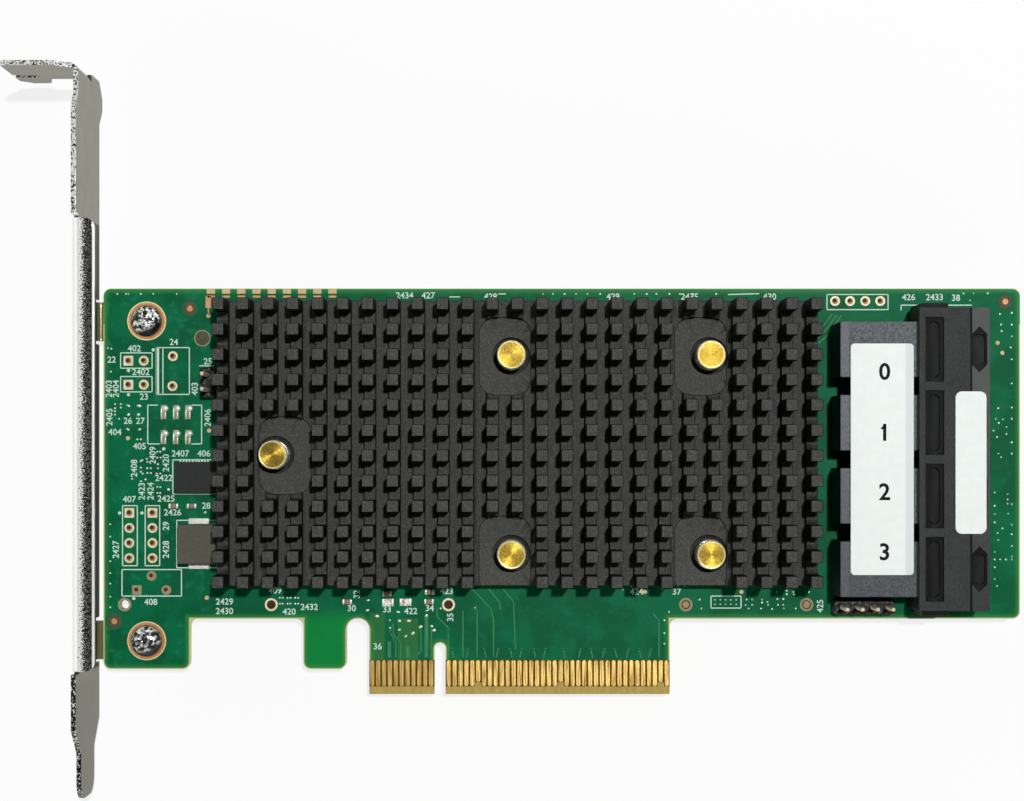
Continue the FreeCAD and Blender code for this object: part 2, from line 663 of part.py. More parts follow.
def make_bracket_screws():
    """Pan-head screws with a cross recess, down through the board into the tabs' collars."""
    screws = []
    head_top = board_top + size.screw_head_height
    reach = size.board_thickness + size.sheet + size.boss_height
    for screw_y in screw_heights:
        head = [cylinder(screw_x, screw_y, board_top, size.screw_head,
                         size.screw_head_height - size.screw_dome),
                cone(screw_x, screw_y, head_top - size.screw_dome, size.screw_head,
                     size.screw_head - size.screw_dome * 2, size.screw_dome)]
        shank = cylinder(screw_x, screw_y, board_top - reach, size.screw_diameter, reach)
        slots = [centred_box(screw_x, screw_y, head_top - size.recess_depth, length, width,
                             size.recess_depth + overrun)
                 for length, width in ((size.recess_length, size.recess_width),
                                       (size.recess_width, size.recess_length))]
        screws.append(cut(joined([*head, shank]), slots))
    node(group(screws), "bracket_screws")


def make_heat_sink():
    """Extruded fins cut across into square pins, with flats and wells milled for the brass pins."""
    length = sink_right - sink_left
    width = sink_high - sink_low
    columns = int((float(length) - float(size.fin_width)) / float(size.fin_pitch) + 1e-6) + 1
    rows = int((float(width) - float(size.fin_width)) / float(size.row_pitch) + 1e-6) + 1
    first_column = (sink_left + sink_right) / 2 - size.fin_pitch * ((columns - 1) / 2)
    first_row = (sink_low + sink_high) / 2 - size.row_pitch * ((rows - 1) / 2)
    extrusion = [box(sink_left, sink_low, sink_under, length, width, size.sink_base)]
    extrusion += [box(first_column + size.fin_pitch * column - size.fin_width / 2, sink_low, sink_floor,
                      size.fin_width, width, size.fin_height) for column in range(columns)]
    pedestal_low = board_top + size.substrate_thickness + size.lid_thickness + size.pad_thickness
    extrusion.append(centred_box(controller_x, controller_y, pedestal_low, size.controller_lid,
                                 size.controller_lid, sink_under - pedestal_low))
    cuts = []
    for row in range(rows - 1):
        gap_low = first_row + size.row_pitch * row + size.fin_width / 2
        cuts.append(box(sink_left - overrun, gap_low, sink_floor + size.rib_height, length + overrun * 2,
                        size.row_pitch - size.fin_width, size.fin_height))
    for x, y in pin_spots:
        column = int((float(x) - float(first_column)) / float(size.fin_pitch))
        row = round((float(y) - float(first_row)) / float(size.row_pitch))
        flat_x = first_column + size.fin_pitch * (column + 0.5)
        flat_y = first_row + size.row_pitch * row
        flat = centred_box(flat_x, flat_y, sink_flat, size.fin_pitch * 2 + size.flat_margin,
                           size.row_pitch * 3 + size.flat_margin,
                           size.flat_depth + size.fin_height + overrun)
        cuts.append(rounded(flat, size.flat_corner, upright))
        cuts.append(cylinder(x, y, sink_flat - size.spring_well_depth, size.spring_well,
                             size.spring_well_depth + overrun))
        cuts.append(cylinder(x, y, sink_under - overrun, size.pin_shank + size.board_hole_clearance * 2,
                             size.sink_base + overrun * 2))
    node(cut(joined(extrusion), cuts), "heat_sink")


def make_push_pins():
    """Turned brass pins: broad head, shank through heat sink and board, tapered barb below."""
    pins = []
    head_top = sink_flat + size.pin_head_top
    head_low = head_top - size.pin_head_height
    edge_bevel = size.pin_head_height * 0.12
    for x, y in pin_spots:
        barb_low = board_under - size.pin_barb_height
        turned = [
            cylinder(x, y, head_low, size.pin_head, size.pin_head_height - edge_bevel),
            cone(x, y, head_top - edge_bevel, size.pin_head, size.pin_head - edge_bevel * 2, edge_bevel),
            cylinder(x, y, board_under, size.pin_shank, head_low - board_under),
            cone(x, y, barb_low, size.pin_shank * 0.7, size.pin_barb, size.pin_barb_height),
        ]
        pins.append(joined(turned))
    node(group(pins), "push_pins")


def coil(x, y, low, high, middle_radius, wire, turns):
    """A spring as straight lengths of square wire, eight to the turn."""
    steps = 8
    rise = float(high) - float(low) - wire
    sections = []
    for step in range(steps * turns + 1):
        turn = 2 * pi * step / steps
        level = float(low) + wire / 2 + rise * step / (steps * turns)
        corners = [Vector(float(x) + (middle_radius + out) * cos(turn),
                          float(y) + (middle_radius + out) * sin(turn), level + up)
                   for out, up in ((wire / 2, -wire / 2), (wire / 2, wire / 2),
                                   (-wire / 2, wire / 2), (-wire / 2, -wire / 2))]
        sections.append(Part.makePolygon([*corners, corners[0]]))
    spring = doc.addObject("Part::Feature", "spring")
    spring.Shape = Part.makeLoft(sections, True, True)
    return spring


def make_springs():
    """A spring round each brass pin, from the well's floor to the head."""
    wire = float(size.spring_wire)
    radius = (float(size.spring_outside) - wire) / 2
    low = sink_flat - size.spring_well_depth
    high = sink_flat + size.pin_head_top - size.pin_head_height
    turns = 3
    node(group([coil(x, y, low, high, radius, wire, turns) for x, y in pin_spots]), "push_pin_springs")


def make_controller():
    """Substrate, lid and thermal pad, stacked between the board and the heat sink."""
    lid_low = board_top + size.substrate_thickness
    pad_low = lid_low + size.lid_thickness
    node(centred_box(controller_x, controller_y, board_top, size.controller_size, size.controller_size,
                     size.substrate_thickness), "controller_substrate")
    lid = centred_box(controller_x, controller_y, lid_low, size.controller_lid, size.controller_lid,
                      size.lid_thickness)
    node(rounded(lid, size.controller_lid * 0.04, upright), "controller_lid")
    pad_size = size.controller_lid * 0.9
    node(centred_box(controller_x, controller_y, pad_low, pad_size, pad_size, size.pad_thickness),
         "thermal_pad")


def make_port_housing():
    """Moulded shroud: four mouths towards the cables, a recess and a latch pocket over each."""
    low_end = ports_y[-1] - size.housing_end_wall
    width = size.port_pitch * 3 + size.housing_end_wall * 2
    shroud = box(housing_back, low_end, board_top, size.housing_depth, width, size.housing_height)
    ears = [box(housing_back + size.ear_from_back, ear_y, board_top, size.ear_length, size.ear_reach,
                size.housing_height - size.ear_drop)
            for ear_y in (low_end - size.ear_reach, low_end + width)]
    back_wall = size.housing_depth - size.cavity_depth
    nose_low = port_floor + (size.cavity_height - size.nose_height) / 2
    latch_x = port_mouth - size.latch_from_mouth
    half_latch = size.latch_length / 2
    half_lead = size.lead_in_length / 2
    cuts = [box(port_mouth - size.groove_from_mouth, low_end - overrun, port_roof - size.groove_depth,
                size.groove_width, width + overrun * 2, size.groove_depth + overrun)]
    for y in ports_y:
        cuts.append(box(port_mouth - size.cavity_depth, y - size.cavity_width / 2, port_floor,
                        size.cavity_depth + overrun, size.cavity_width, size.cavity_height))
        cuts.append(centred_box(housing_back + back_wall / 2, y, nose_low - size.nose_clearance,
                                back_wall + overrun * 2, size.nose_width + size.nose_clearance * 2,
                                size.nose_height + size.nose_clearance * 2))
        window_x = housing_back + size.window_from_back
        window_floor = port_roof - size.window_depth
        cuts.append(centred_box(window_x, y, window_floor, size.window_width, size.window_length,
                                size.window_depth + overrun))
        slit = centred_box(window_x, y, window_floor - size.slit_depth, size.slit_width, size.slit_length,
                           size.slit_depth + size.window_depth)
        cuts.append(rounded(slit, size.slit_width * 0.48, upright))
        latch = centred_box(latch_x, y, port_roof - size.latch_depth, size.latch_width, size.latch_length,
                            size.latch_depth + overrun)
        cuts.append(rounded(latch, size.latch_corner, upright))
        left, right = latch_x - size.lead_in_width / 2, latch_x + size.lead_in_width / 2
        lead_in = [(latch_x, y - half_lead), (right, y - half_latch), (right, y + half_latch),
                   (latch_x, y + half_lead), (left, y + half_latch), (left, y - half_latch)]
        body = doc.addObject("PartDesign::Body", "lead_in")
        pad(body, profile(body, "XY", port_roof - size.lead_in_depth, lead_in), size.lead_in_depth + overrun)
        cuts.append(body)
    node(cut(joined([shroud, *ears]), cuts), "port_housing")


def make_contact_modules():
    """A moulded contact block behind each mouth, with its slotted nose inside the port."""
    nose_low = port_floor + (size.cavity_height - size.nose_height) / 2
    nose_end = port_mouth - size.cavity_depth + size.nose_reach
    slot_back = nose_end - size.card_slot_depth
    slot_width = size.nose_width - size.card_slot_wall * 2
    slots_middle = nose_low + size.nose_height / 2
    levels = [slots_middle + size.card_slot_spacing * side - size.card_slot_height / 2
              for side in (-0.5, 0.5)]
    contacts = []
    tails = []
    for number, y in enumerate(ports_y, start=1):
        block = box(module_back, y - size.module_width / 2, board_top, size.module_depth, size.module_width,
                    size.housing_height)
        nose = box(module_back, y - size.nose_width / 2, nose_low, nose_end - module_back, size.nose_width,
                   size.nose_height)
        slots = [box(slot_back, y - slot_width / 2, level, size.card_slot_depth + overrun, slot_width,
                     size.card_slot_height) for level in levels]
        node(cut(joined([block, nose]), slots), f"contact_module_{number}")
        for level in levels:
            contacts += [box(slot_back,
                             y + size.port_contact_pitch * step - size.port_contact_width / 2, level,
                             size.card_slot_depth - size.port_contact_setback, size.port_contact_width,
                             size.port_contact_height)
                         for step in range(-4, 5)]
        for row in (-0.5, 0.5):
            row_x = module_back + size.module_depth / 2 + size.tail_row_pitch * row
            tails += [centred_box(row_x, y + size.tail_pitch * step, board_under - size.tail_length,
                                  size.tail_width, size.tail_width, size.tail_length)
                      for step in range(-2, 3)]
    node(group(contacts), "port_contacts")
    node(group(tails), "port_tails")


def make_labels():
    """Two thin stickers with rounded corners."""
    port_label = centred_box(module_back + size.port_label_from_back, ports_middle, port_roof,
                             size.port_label_width, size.port_label_length, size.label_thickness)
    node(rounded(port_label, size.port_label_width * 0.06, upright), "port_label")
    plain = centred_box(port_mouth - size.plain_label_from_mouth, ports_middle - size.plain_label_drop,
                        port_roof, size.plain_label_width, size.plain_label_length, size.label_thickness)
    node(rounded(plain, size.plain_label_width * 0.2, upright), "plain_label")


def make_headers():
    """Two pin headers: square pins pressed through a moulded base."""
    half = size.header_pitch / 2
    for name, x, y, across, along in (
            ("service_header", module_back + size.service_header_from_back,
             size.shoulder_height + size.service_header_rise, 4, 1),
            ("jumper_header", sink_left - size.jumper_header_gap - half,
             size.board_height - size.jumper_header_drop, 1, 2)):
        middles = [(x + size.header_pitch * i, y + size.header_pitch * j)
                   for i in range(across) for j in range(along)]
        base = box(x - half, y - half, board_top, size.header_pitch * across, size.header_pitch * along,
                   size.header_base)
        bores = [centred_box(i, j, board_top - overrun, size.header_pin, size.header_pin,
                             size.header_base + overrun * 2) for i, j in middles]
        node(cut(base, bores), f"{name}_base")
        pins = [centred_box(i, j, board_top, size.header_pin, size.header_pin, size.header_rise)
                for i, j in middles]
        node(group(pins), f"{name}_pins")


def make_power_parts():
    """Moulded inductor with its two tinned ends, and the flat power chip above it on the board."""
    coil_left = board_left + size.coil_from_end
    coil_low = size.shoulder_height + size.coil_rise
    core = box(coil_left, coil_low, board_top, size.coil_size, size.coil_width, size.coil_height)
    node(rounded(core, size.coil_size * 0.06, upright), "power_inductor_core")
    end_left = coil_left + (size.coil_size - size.coil_end_width) / 2
    ends = [box(end_left, end_y, board_top, size.coil_end_width, size.coil_end_length, size.coil_end_height)
            for end_y in (coil_low - size.coil_end_length, coil_low + size.coil_width)]
    node(group(ends), "power_inductor_terminals")
    node(box(board_left + size.chip_from_end, coil_low + size.coil_width + size.chip_gap, board_top,
             size.chip_length, size.chip_width, size.chip_height), "power_stage_chip")


def make_small_parts():
    """Chip parts soldered to the board, a body and two tinned ends each, and two parts under the sink."""
    end_share = 0.22
    capacitor_spots = (
        (size.capacitor_1_along, size.capacitor_1_rise), (size.capacitor_2_along, size.capacitor_2_rise),
        (size.capacitor_3_along, size.capacitor_3_rise), (size.capacitor_4_along, size.capacitor_4_rise),
        (size.capacitor_5_along, size.capacitor_5_rise), (size.capacitor_6_along, size.capacitor_6_rise))
    fuse_spots = ((size.fuse_1_along, size.fuse_1_rise), (size.fuse_2_along, size.fuse_2_rise))
    for name, spots, length, width, height in (
            ("chip_capacitor", capacitor_spots, size.capacitor_length, size.capacitor_width,
             size.capacitor_height),
            ("chip_fuse", fuse_spots, size.fuse_length, size.fuse_width, size.fuse_height)):
        bodies = []
        ends = []
        for from_end, rise in spots:
            x = board_left + from_end
            y = size.shoulder_height + rise
            bodies.append(centred_box(x, y, board_top, length * (1 - 2 * end_share), width, height))
            ends += [centred_box(x + length * (1 - end_share) * side, y, board_top,
                                 length * end_share, width, height) for side in (-0.5, 0.5)]
        node(group(bodies), f"{name}_bodies")
        node(group(ends), f"{name}_ends")
    node(centred_box(sink_left + size.flash_from_end, sink_high - size.flash_from_top, board_top,
                     size.flash_length, size.flash_width, size.flash_height), "flash_memory")
    node(centred_box(sink_left + size.crystal_from_end, sink_low + size.crystal_from_low, board_top,
                     size.crystal_length, size.crystal_width, size.crystal_height), "clock_crystal")


make_board()
make_edge_contacts()
make_bracket()
make_bracket_screws()
make_heat_sink()
make_push_pins()
make_springs()
make_controller()
make_port_housing()
make_contact_modules()
make_labels()
make_headers()
make_power_parts()
make_small_parts()

doc.recompute()
failed = [item.Label for item in doc.Objects if {"Invalid", "Error"} & set(item.State)]
failed += [piece.Label for piece in nodes if piece.Shape.isNull() or not piece.Shape.isValid()]
if failed:
    raise RuntimeError("failed: " + ", ".join(failed))
os.makedirs("parts", exist_ok=True)
for piece in nodes:
    piece.Shape.exportStep(f"parts/{piece.Label}.step")
print(f"{len(nodes)} sub-parts written")
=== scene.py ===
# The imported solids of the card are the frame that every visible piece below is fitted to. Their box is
# noted before anything is added, and the floor is laid at its lowest level.
import bmesh
import bpy
import random
from math import atan2, pi, radians
from mathutils import Color, Matrix, Vector


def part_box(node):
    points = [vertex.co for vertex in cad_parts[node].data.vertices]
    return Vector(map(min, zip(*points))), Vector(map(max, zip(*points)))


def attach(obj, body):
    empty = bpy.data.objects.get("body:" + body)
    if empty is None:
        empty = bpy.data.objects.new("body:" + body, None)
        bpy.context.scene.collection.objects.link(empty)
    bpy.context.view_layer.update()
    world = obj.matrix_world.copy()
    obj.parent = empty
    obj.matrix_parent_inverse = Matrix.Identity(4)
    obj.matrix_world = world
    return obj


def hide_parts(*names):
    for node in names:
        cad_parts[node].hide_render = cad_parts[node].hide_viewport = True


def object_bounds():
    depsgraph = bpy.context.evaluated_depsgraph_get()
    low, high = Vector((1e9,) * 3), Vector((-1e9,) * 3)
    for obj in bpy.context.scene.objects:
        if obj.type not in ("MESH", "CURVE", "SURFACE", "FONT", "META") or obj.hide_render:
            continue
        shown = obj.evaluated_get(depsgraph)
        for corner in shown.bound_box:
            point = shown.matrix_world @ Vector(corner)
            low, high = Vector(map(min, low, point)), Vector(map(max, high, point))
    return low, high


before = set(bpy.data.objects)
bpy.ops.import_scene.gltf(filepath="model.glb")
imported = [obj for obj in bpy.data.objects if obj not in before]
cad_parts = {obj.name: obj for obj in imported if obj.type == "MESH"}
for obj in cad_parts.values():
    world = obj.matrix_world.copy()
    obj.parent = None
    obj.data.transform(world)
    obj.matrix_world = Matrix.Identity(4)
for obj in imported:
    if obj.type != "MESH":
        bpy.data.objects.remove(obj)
cad_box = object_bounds()


# Circuit board: glass-fibre laminate, routed to its outline and drilled. Green lacquer covers both faces
# and stops above the gold contacts, so the end of the tongue and the routed edges show bare laminate.
MM = 0.001


class Wire:
    """A shader socket that takes part in Python expressions."""

    def __init__(self, finish, socket):
        self.finish = finish
        self.socket = socket

    def math(self, operation, first, second=0.0):
        return self.finish.node("Math", {"operation": operation}, {0: first, 1: second})

    def __add__(self, other):
        return self.math("ADD", self, other)

    def __sub__(self, other):
        return self.math("SUBTRACT", self, other)

    def __rsub__(self, other):
        return self.math("SUBTRACT", other, self)

    def __mul__(self, other):
        return self.math("MULTIPLY", self, other)

    def __gt__(self, other):
        return self.math("GREATER_THAN", self, other)

    def __lt__(self, other):
        return self.math("LESS_THAN", self, other)

    def __and__(self, other):
        return self.math("MINIMUM", self, other)

    def __or__(self, other):
        return self.math("MAXIMUM", self, other)

    def __abs__(self):
        return self.math("ABSOLUTE", self)

    __radd__ = __add__
    __rmul__ = __mul__


class Finish:
    """The nodes of one surface: node() adds any of them, and the other methods are its usual settings."""

    def __init__(self, owner):
        owner.use_nodes = True
        self.owner = owner
        self.tree = owner.node_tree

    def node(self, kind, settings=None, sockets=None, out=0):
        made = self.tree.nodes.new("ShaderNode" + kind)
        for name, value in (settings or {}).items():
            setattr(made, name, value)
        self.feed(made, sockets or {})
        return Wire(self, made.outputs[out])

    def feed(self, made, sockets):
        for name, value in sockets.items():
            if isinstance(value, Wire):
                self.tree.links.new(value.socket, made.inputs[name])
            else:
                made.inputs[name].default_value = value

    def surface(self, sockets):
        """Set the sockets of the material's own shader."""
        self.feed(self.tree.nodes["Principled BSDF"], sockets)

    def split(self, vector):
        """The three parts of a vector."""
        parts = self.node("SeparateXYZ", sockets={0: vector})
        return [Wire(self, socket) for socket in parts.socket.node.outputs]

    def span(self, across, along):
        """The length of a flat vector."""
        flat = self.node("CombineXYZ", sockets={0: across, 1: along})
        return self.node("VectorMath", {"operation": "LENGTH"}, {0: flat}, out="Value")

    def place(self, stretch=(1, 1, 1)):
        """Where a point lies on the card, in millimetres, with each axis stretched."""
        return self.node("VectorMath", {"operation": "MULTIPLY"},
                         {0: self.node("TexCoord", out="Object"), 1: [share / MM for share in stretch]})

    def noise(self, per_mm, detail=2.0, stretch=(1, 1, 1)):
        return self.node("TexNoise", sockets={"Vector": self.place(stretch), "Scale": per_mm,
                                              "Detail": detail})

    def ramp(self, value, low, high):
        """Rises smoothly from 0 to 1 while the value goes from low to high."""
        return self.node("MapRange", {"interpolation_type": "SMOOTHSTEP"},
                         {"Value": value, "From Min": low, "From Max": high})

    def mix(self, share, first, second):
        """A colour between two."""
        return self.node("Mix", {"data_type": "RGBA"}, {0: share, 6: first, 7: second}, out=2)

    def bump(self, height, depth):
        """Relief of the given depth in millimetres."""
        return self.node("Bump", sockets={"Strength": 1.0, "Distance": depth * MM, "Height": height})


def finish(name):
    return Finish(bpy.data.materials.new(name))


def paint(red, green, blue):
    """A colour given as on a screen, from 0 to 255."""
    return (*Color((red / 255, green / 255, blue / 255)).from_srgb_to_scene_linear(), 1.0)


def coat(thing, surface):
    thing.data.materials.clear()
    thing.data.materials.append(surface.owner)


board_low, board_high = (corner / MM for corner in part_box("circuit_board"))
TOP = board_high.z
UNDER = board_low.z
SHOULDER = 12.84
LACQUER_END = 5.85
CONTACT_LOW = 1.4
TONGUE_LEFT = -12.0
TONGUE_RIGHT = 39.0
SMALL_TAB_LEFT = -23.2
SMALL_TAB_RIGHT = -15.9
TAB_LOW = 4.28
BRACKET_TAB = 14.7
SLOT_RADIUS = 1.95
KEY_RADIUS = 0.95
KEY_TOP = 8.7
OUTER_CORNER = 1.3
short_columns = (6.5, 20.5, 37.5)
SHORT_LOW = CONTACT_LOW + 0.7
SQUARE_CORNER = 0.01
lacquer = finish("green_lacquer")
x, y, _ = lacquer.split(lacquer.place())


def plate(left, low, right, high, corner):
    """How far a point lies inside a rectangle with rounded corners."""
    across = (x - left) & (right - x)
    along = (y - low) & (high - y)
    rounded = corner - lacquer.span((corner - across) | 0.0, (corner - along) | 0.0)
    return rounded + (((across & along) - corner) | 0.0)


def clear_of(middle, top, radius):
    """How far a point lies outside an upright slot with a round upper end."""
    return lacquer.span(x - middle, (y - (top - radius)) | 0.0) - radius


inside = (plate(board_low.x, SHOULDER, board_high.x, board_high.y, OUTER_CORNER)
          | plate(board_low.x, TAB_LOW, board_low.x + BRACKET_TAB, board_high.y, OUTER_CORNER)
          | plate(SMALL_TAB_LEFT, TAB_LOW, SMALL_TAB_RIGHT, board_high.y, OUTER_CORNER)
          | plate(SMALL_TAB_LEFT, SHOULDER - 4, TONGUE_RIGHT, board_high.y, SQUARE_CORNER)
          | plate(TONGUE_LEFT, 0.0, TONGUE_RIGHT, board_high.y, SQUARE_CORNER))
inside = inside & clear_of((SMALL_TAB_RIGHT + TONGUE_LEFT) / 2, SHOULDER, SLOT_RADIUS)
inside = inside & clear_of(0.0, KEY_TOP, KEY_RADIUS)
facing = abs(lacquer.split(lacquer.node("NewGeometry", out="Normal"))[2])
pour = lacquer.ramp(lacquer.noise(0.16, 3.0), 0.42, 0.58)
blotch = lacquer.ramp(lacquer.noise(0.75, 2.0), 0.54, 0.7)
green = lacquer.mix(pour, paint(0, 91, 55), paint(0, 104, 65))
green = lacquer.mix(blotch * (0.2 + (x < -40.0) * 0.25), green, paint(26, 124, 84))
small_tab = (lacquer.ramp(x, SMALL_TAB_LEFT - 1, SMALL_TAB_LEFT + 1) & (1 - lacquer.ramp(x, -16, -15))
             & (1 - lacquer.ramp(y, SHOULDER - 1, SHOULDER + 2.5)))
green = lacquer.mix(small_tab * 0.8, green, paint(0, 136, 58))
copper_patch = (((x < -9.4) & (x > TONGUE_LEFT) & (y < 13.8)) | ((x > -7.2) & (x < -3.7) & (y < 12.9)))
green = lacquer.mix(copper_patch * 0.55, green, paint(58, 122, 58))
green = lacquer.mix((1 - lacquer.ramp(inside, 0.2, 1.1)) * 0.65, green, paint(60, 138, 56))
rim = lacquer.mix(y > SHOULDER + 50, paint(196, 200, 148), paint(84, 150, 92))
green = lacquer.mix(1 - lacquer.ramp(inside, 0.1, 0.26), green, rim)
bare = (y < LACQUER_END) & (x > TONGUE_LEFT - 1) & (x < TONGUE_RIGHT + 1)
weave = lacquer.noise(1.4, 2.0, (1, 0.3, 1))
laminate = lacquer.mix(weave, paint(158, 135, 68), paint(194, 172, 100))
between = lacquer.mix(weave, paint(62, 44, 20), paint(104, 78, 38))
set_back = 0.0
for column in short_columns:
    set_back = (abs(x - column) < 0.55) & (y < SHORT_LOW - 0.05) | set_back
laminate = lacquer.mix((y > CONTACT_LOW - 0.05) & (1 - set_back), laminate, between)
fibres = lacquer.noise(2.0, 3.0, (0.4, 0.4, 5))
edge = lacquer.mix(fibres, paint(196, 190, 140), paint(240, 236, 204))
lacquer.surface({
    "Base Color": lacquer.mix(facing > 0.5, edge, lacquer.mix(bare, green, laminate)),
    "Roughness": lacquer.noise(0.5) * 0.12 + 0.4 + (bare | (facing < 0.5)) * 0.25,
    "Normal": lacquer.bump(lacquer.noise(1.6, 2.0), 0.004),
    "Specular IOR Level": 0.06,
})
coat(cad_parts["circuit_board"], lacquer)


# Tracks and vias: copper etched on the board's faces and drilled through, green where the lacquer runs over
# it. Each via ends in a small tinned cap.
def bar(shape, start, end, width, low, height):
    """A thin strip from one point of the board to another."""
    run = Vector(end) - Vector(start)
    middle = (Vector(start) + Vector(end)) / 2
    place = (Matrix.Translation((*middle, low + height / 2)) @ Matrix.Rotation(atan2(run.y, run.x), 4, "Z")
             @ Matrix.Diagonal((run.length, width, height, 1)))
    bmesh.ops.create_cube(shape, size=1, matrix=place)


def trace(shape, points, width, low, height):
    """Thin strips from each point to the next."""
    for start, end in zip(points, points[1:]):
        bar(shape, start, end, width, low, height)


def disc(shape, spot, radius, low, height, sides=12, taper=0.85):
    """A low round button on the board."""
    bmesh.ops.create_cone(shape, cap_ends=True, segments=sides, radius1=radius, radius2=radius * taper,
                          depth=height, matrix=Matrix.Translation((*spot, low + height / 2)))


def piece(shape, name, surface, smooth=None):
    """Turn a mesh drawn in millimetres into a named piece of the card."""
    bmesh.ops.remove_doubles(shape, verts=shape.verts, dist=1e-5)
    bmesh.ops.recalc_face_normals(shape, faces=shape.faces)
    bmesh.ops.scale(shape, vec=(MM, MM, MM), verts=shape.verts)
    mesh = bpy.data.meshes.new(name)
    shape.to_mesh(mesh)
    shape.free()
    if smooth:
        mesh.shade_smooth()
        mesh.set_sharp_from_angle(angle=radians(smooth))
    thing = bpy.data.objects.new(name, mesh)
    bpy.context.scene.collection.objects.link(thing)
    coat(thing, surface)
    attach(thing, "root")
    return thing


def mottled(name, grain, dark, light, gloss, relief=None, metallic=0.0, specular=0.5):
    """A finish that wavers between two colours, in its gloss and, where it has relief, in its bumps."""
    made = finish(name)
    per_mm, spread, least = gloss
    made.surface({
        "Base Color": made.mix(made.noise(*grain), paint(*dark), paint(*light)),
        "Metallic": metallic,
        "Roughness": made.noise(per_mm) * spread + least,
        "Specular IOR Level": specular,
    })
    if relief:
        per_mm, depth = relief
        made.surface({"Normal": made.bump(made.noise(per_mm), depth)})
    return made


COPPER_HEIGHT = 0.035
THIN_TRACK = 0.22
WIDE_TRACK = 0.6
track_runs = (
    (THIN_TRACK, (5.4, 18.0), (8.6, 14.6), (9.1, 12.7), (9.1, 6.3)),
    (THIN_TRACK, (8.2, 18.0), (10.1, 15.7), (10.3, 14.4)),
    (THIN_TRACK, (10.7, 18.0), (12.5, 15.7), (12.8, 7.7)),
    (THIN_TRACK, (3.9, 14.2), (3.9, 6.3)),
    (THIN_TRACK, (6.0, 14.7), (6.3, 14.2), (6.3, 6.3)),
    (THIN_TRACK, (-0.5, 14.8), (-0.5, 13.2), (1.4, 11.3), (1.4, 6.3)),
    (THIN_TRACK, (-1.4, 11.5), (-1.5, 6.3)),
    (THIN_TRACK, (-3.3, 11.5), (-3.2, 7.5), (-3.7, 6.7)),
    (THIN_TRACK, (-8.0, 12.1), (-8.5, 10.6), (-7.5, 8.8), (-7.5, 6.3)),
    (THIN_TRACK, (-7.9, 12.1), (-7.9, 10.2), (-6.7, 8.8), (-6.7, 6.3)),
    (THIN_TRACK, (36.2, 13.7), (37.2, 12.6), (37.2, 6.3)),
    (THIN_TRACK, (63.6, 61.2), (65.0, 62.4), (66.6, 64.6)),
    (THIN_TRACK, (63.6, 60.2), (65.3, 61.6), (67.4, 64.4)),
    (THIN_TRACK, (63.8, 59.2), (65.6, 60.8), (68.2, 64.4)),
    (WIDE_TRACK, (-2.3, 13.4), (-2.3, 6.3)),
    (WIDE_TRACK, (-8.6, 9.0), (-8.6, 6.3)),
    (WIDE_TRACK, (-5.5, 8.3), (-5.5, 6.3)),
)
hook_columns = (2.0, 4.8, 7.5, 9.9, 11.9, 13.9, 15.9, 17.9, 20.9, 23.9, 25.6, 27.9, 29.7, 32.0, 33.8, 35.8)
HOOK_TOP = 7.7
HOOK_LEAN = 0.35
tracks = bmesh.new()
for width, *points in track_runs:
    trace(tracks, points, width, TOP, COPPER_HEIGHT)
for number, column in enumerate(hook_columns):
    lean = HOOK_LEAN if number % 2 == 0 else -HOOK_LEAN
    bar(tracks, (column, HOOK_TOP), (column + lean, LACQUER_END + 0.4), THIN_TRACK, TOP, COPPER_HEIGHT)
    disc(tracks, (column, HOOK_TOP), THIN_TRACK, TOP, COPPER_HEIGHT, 8)
track_green = mottled("track_green", (0.6,), (36, 118, 74), (68, 142, 94), (1.2, 0.15, 0.4), specular=0.1)
piece(tracks, "tracks", track_green)

VIA_RADIUS = 0.16
UNDER_VIAS = 420
via_spots = [
    (-54.8, 68.0), (-53.3, 68.0), (-52.9, 68.0), (-50.8, 68.0), (-48.7, 68.0), (-44.7, 68.0), (-56.4, 58.8),
    (-55.8, 58.7), (-55.9, 54.8), (-56.0, 28.9), (-56.0, 26.8), (-56.0, 22.6), (-56.0, 20.6), (-56.0, 18.8),
    (-56.0, 16.6), (-56.0, 14.8), (31.1, 17.8), (32.5, 18.4), (37.7, 17.9), (40.4, 18.4), (41.5, 18.4),
    (44.1, 16.1), (44.4, 14.6), (38.9, 14.0), (38.1, 12.6), (38.1, 10.4), (38.1, 8.6), (52.1, 16.1),
    (53.0, 16.1), (54.7, 16.1), (54.7, 15.6), (55.6, 15.7), (57.3, 16.2), (58.3, 16.2), (51.9, 15.2),
    (53.0, 15.2), (55.7, 15.2), (57.4, 15.2), (58.3, 15.2), (52.4, 14.6), (54.5, 14.6), (56.4, 14.5),
    (58.4, 14.6), (60.4, 14.6), (58.9, 17.6), (60.0, 17.4), (58.9, 17.0), (60.1, 17.0), (62.7, 17.4),
    (57.2, 17.4), (88.9, 68.1), (90.6, 68.1), (93.0, 68.1), (90.0, 66.9), (95.1, 64.6), (95.3, 62.8),
    (95.4, 61.7), (96.9, 58.9), (94.8, 48.6), (94.4, 46.8), (95.6, 46.7), (94.9, 46.1), (96.2, 45.4),
    (94.0, 44.8), (96.2, 44.2), (94.6, 43.7), (94.8, 40.9), (95.3, 40.3), (94.2, 34.3), (96.4, 34.0),
    (96.4, 33.1), (96.4, 32.4), (94.2, 32.0), (94.2, 30.6), (96.5, 30.7), (94.2, 29.2), (95.5, 28.2),
    (94.7, 27.4), (94.8, 26.2), (94.2, 24.2), (94.2, 22.9), (95.1, 22.9), (96.1, 22.9), (94.2, 21.6),
    (94.2, 19.6), (94.6, 18.4), (1.4, 10.5), (-8.5, 12.6), (-8.5, 11.3), (0.1, 14.6), (6.0, 14.7),
]
via_spots += [(across, 68.0) for across in (17.5, 19.2, 21.15, 23.1, 25.05, 27.2, 33.0, 35.1, 36.75, 38.95,
                                            40.75, 42.95, 46.9)]
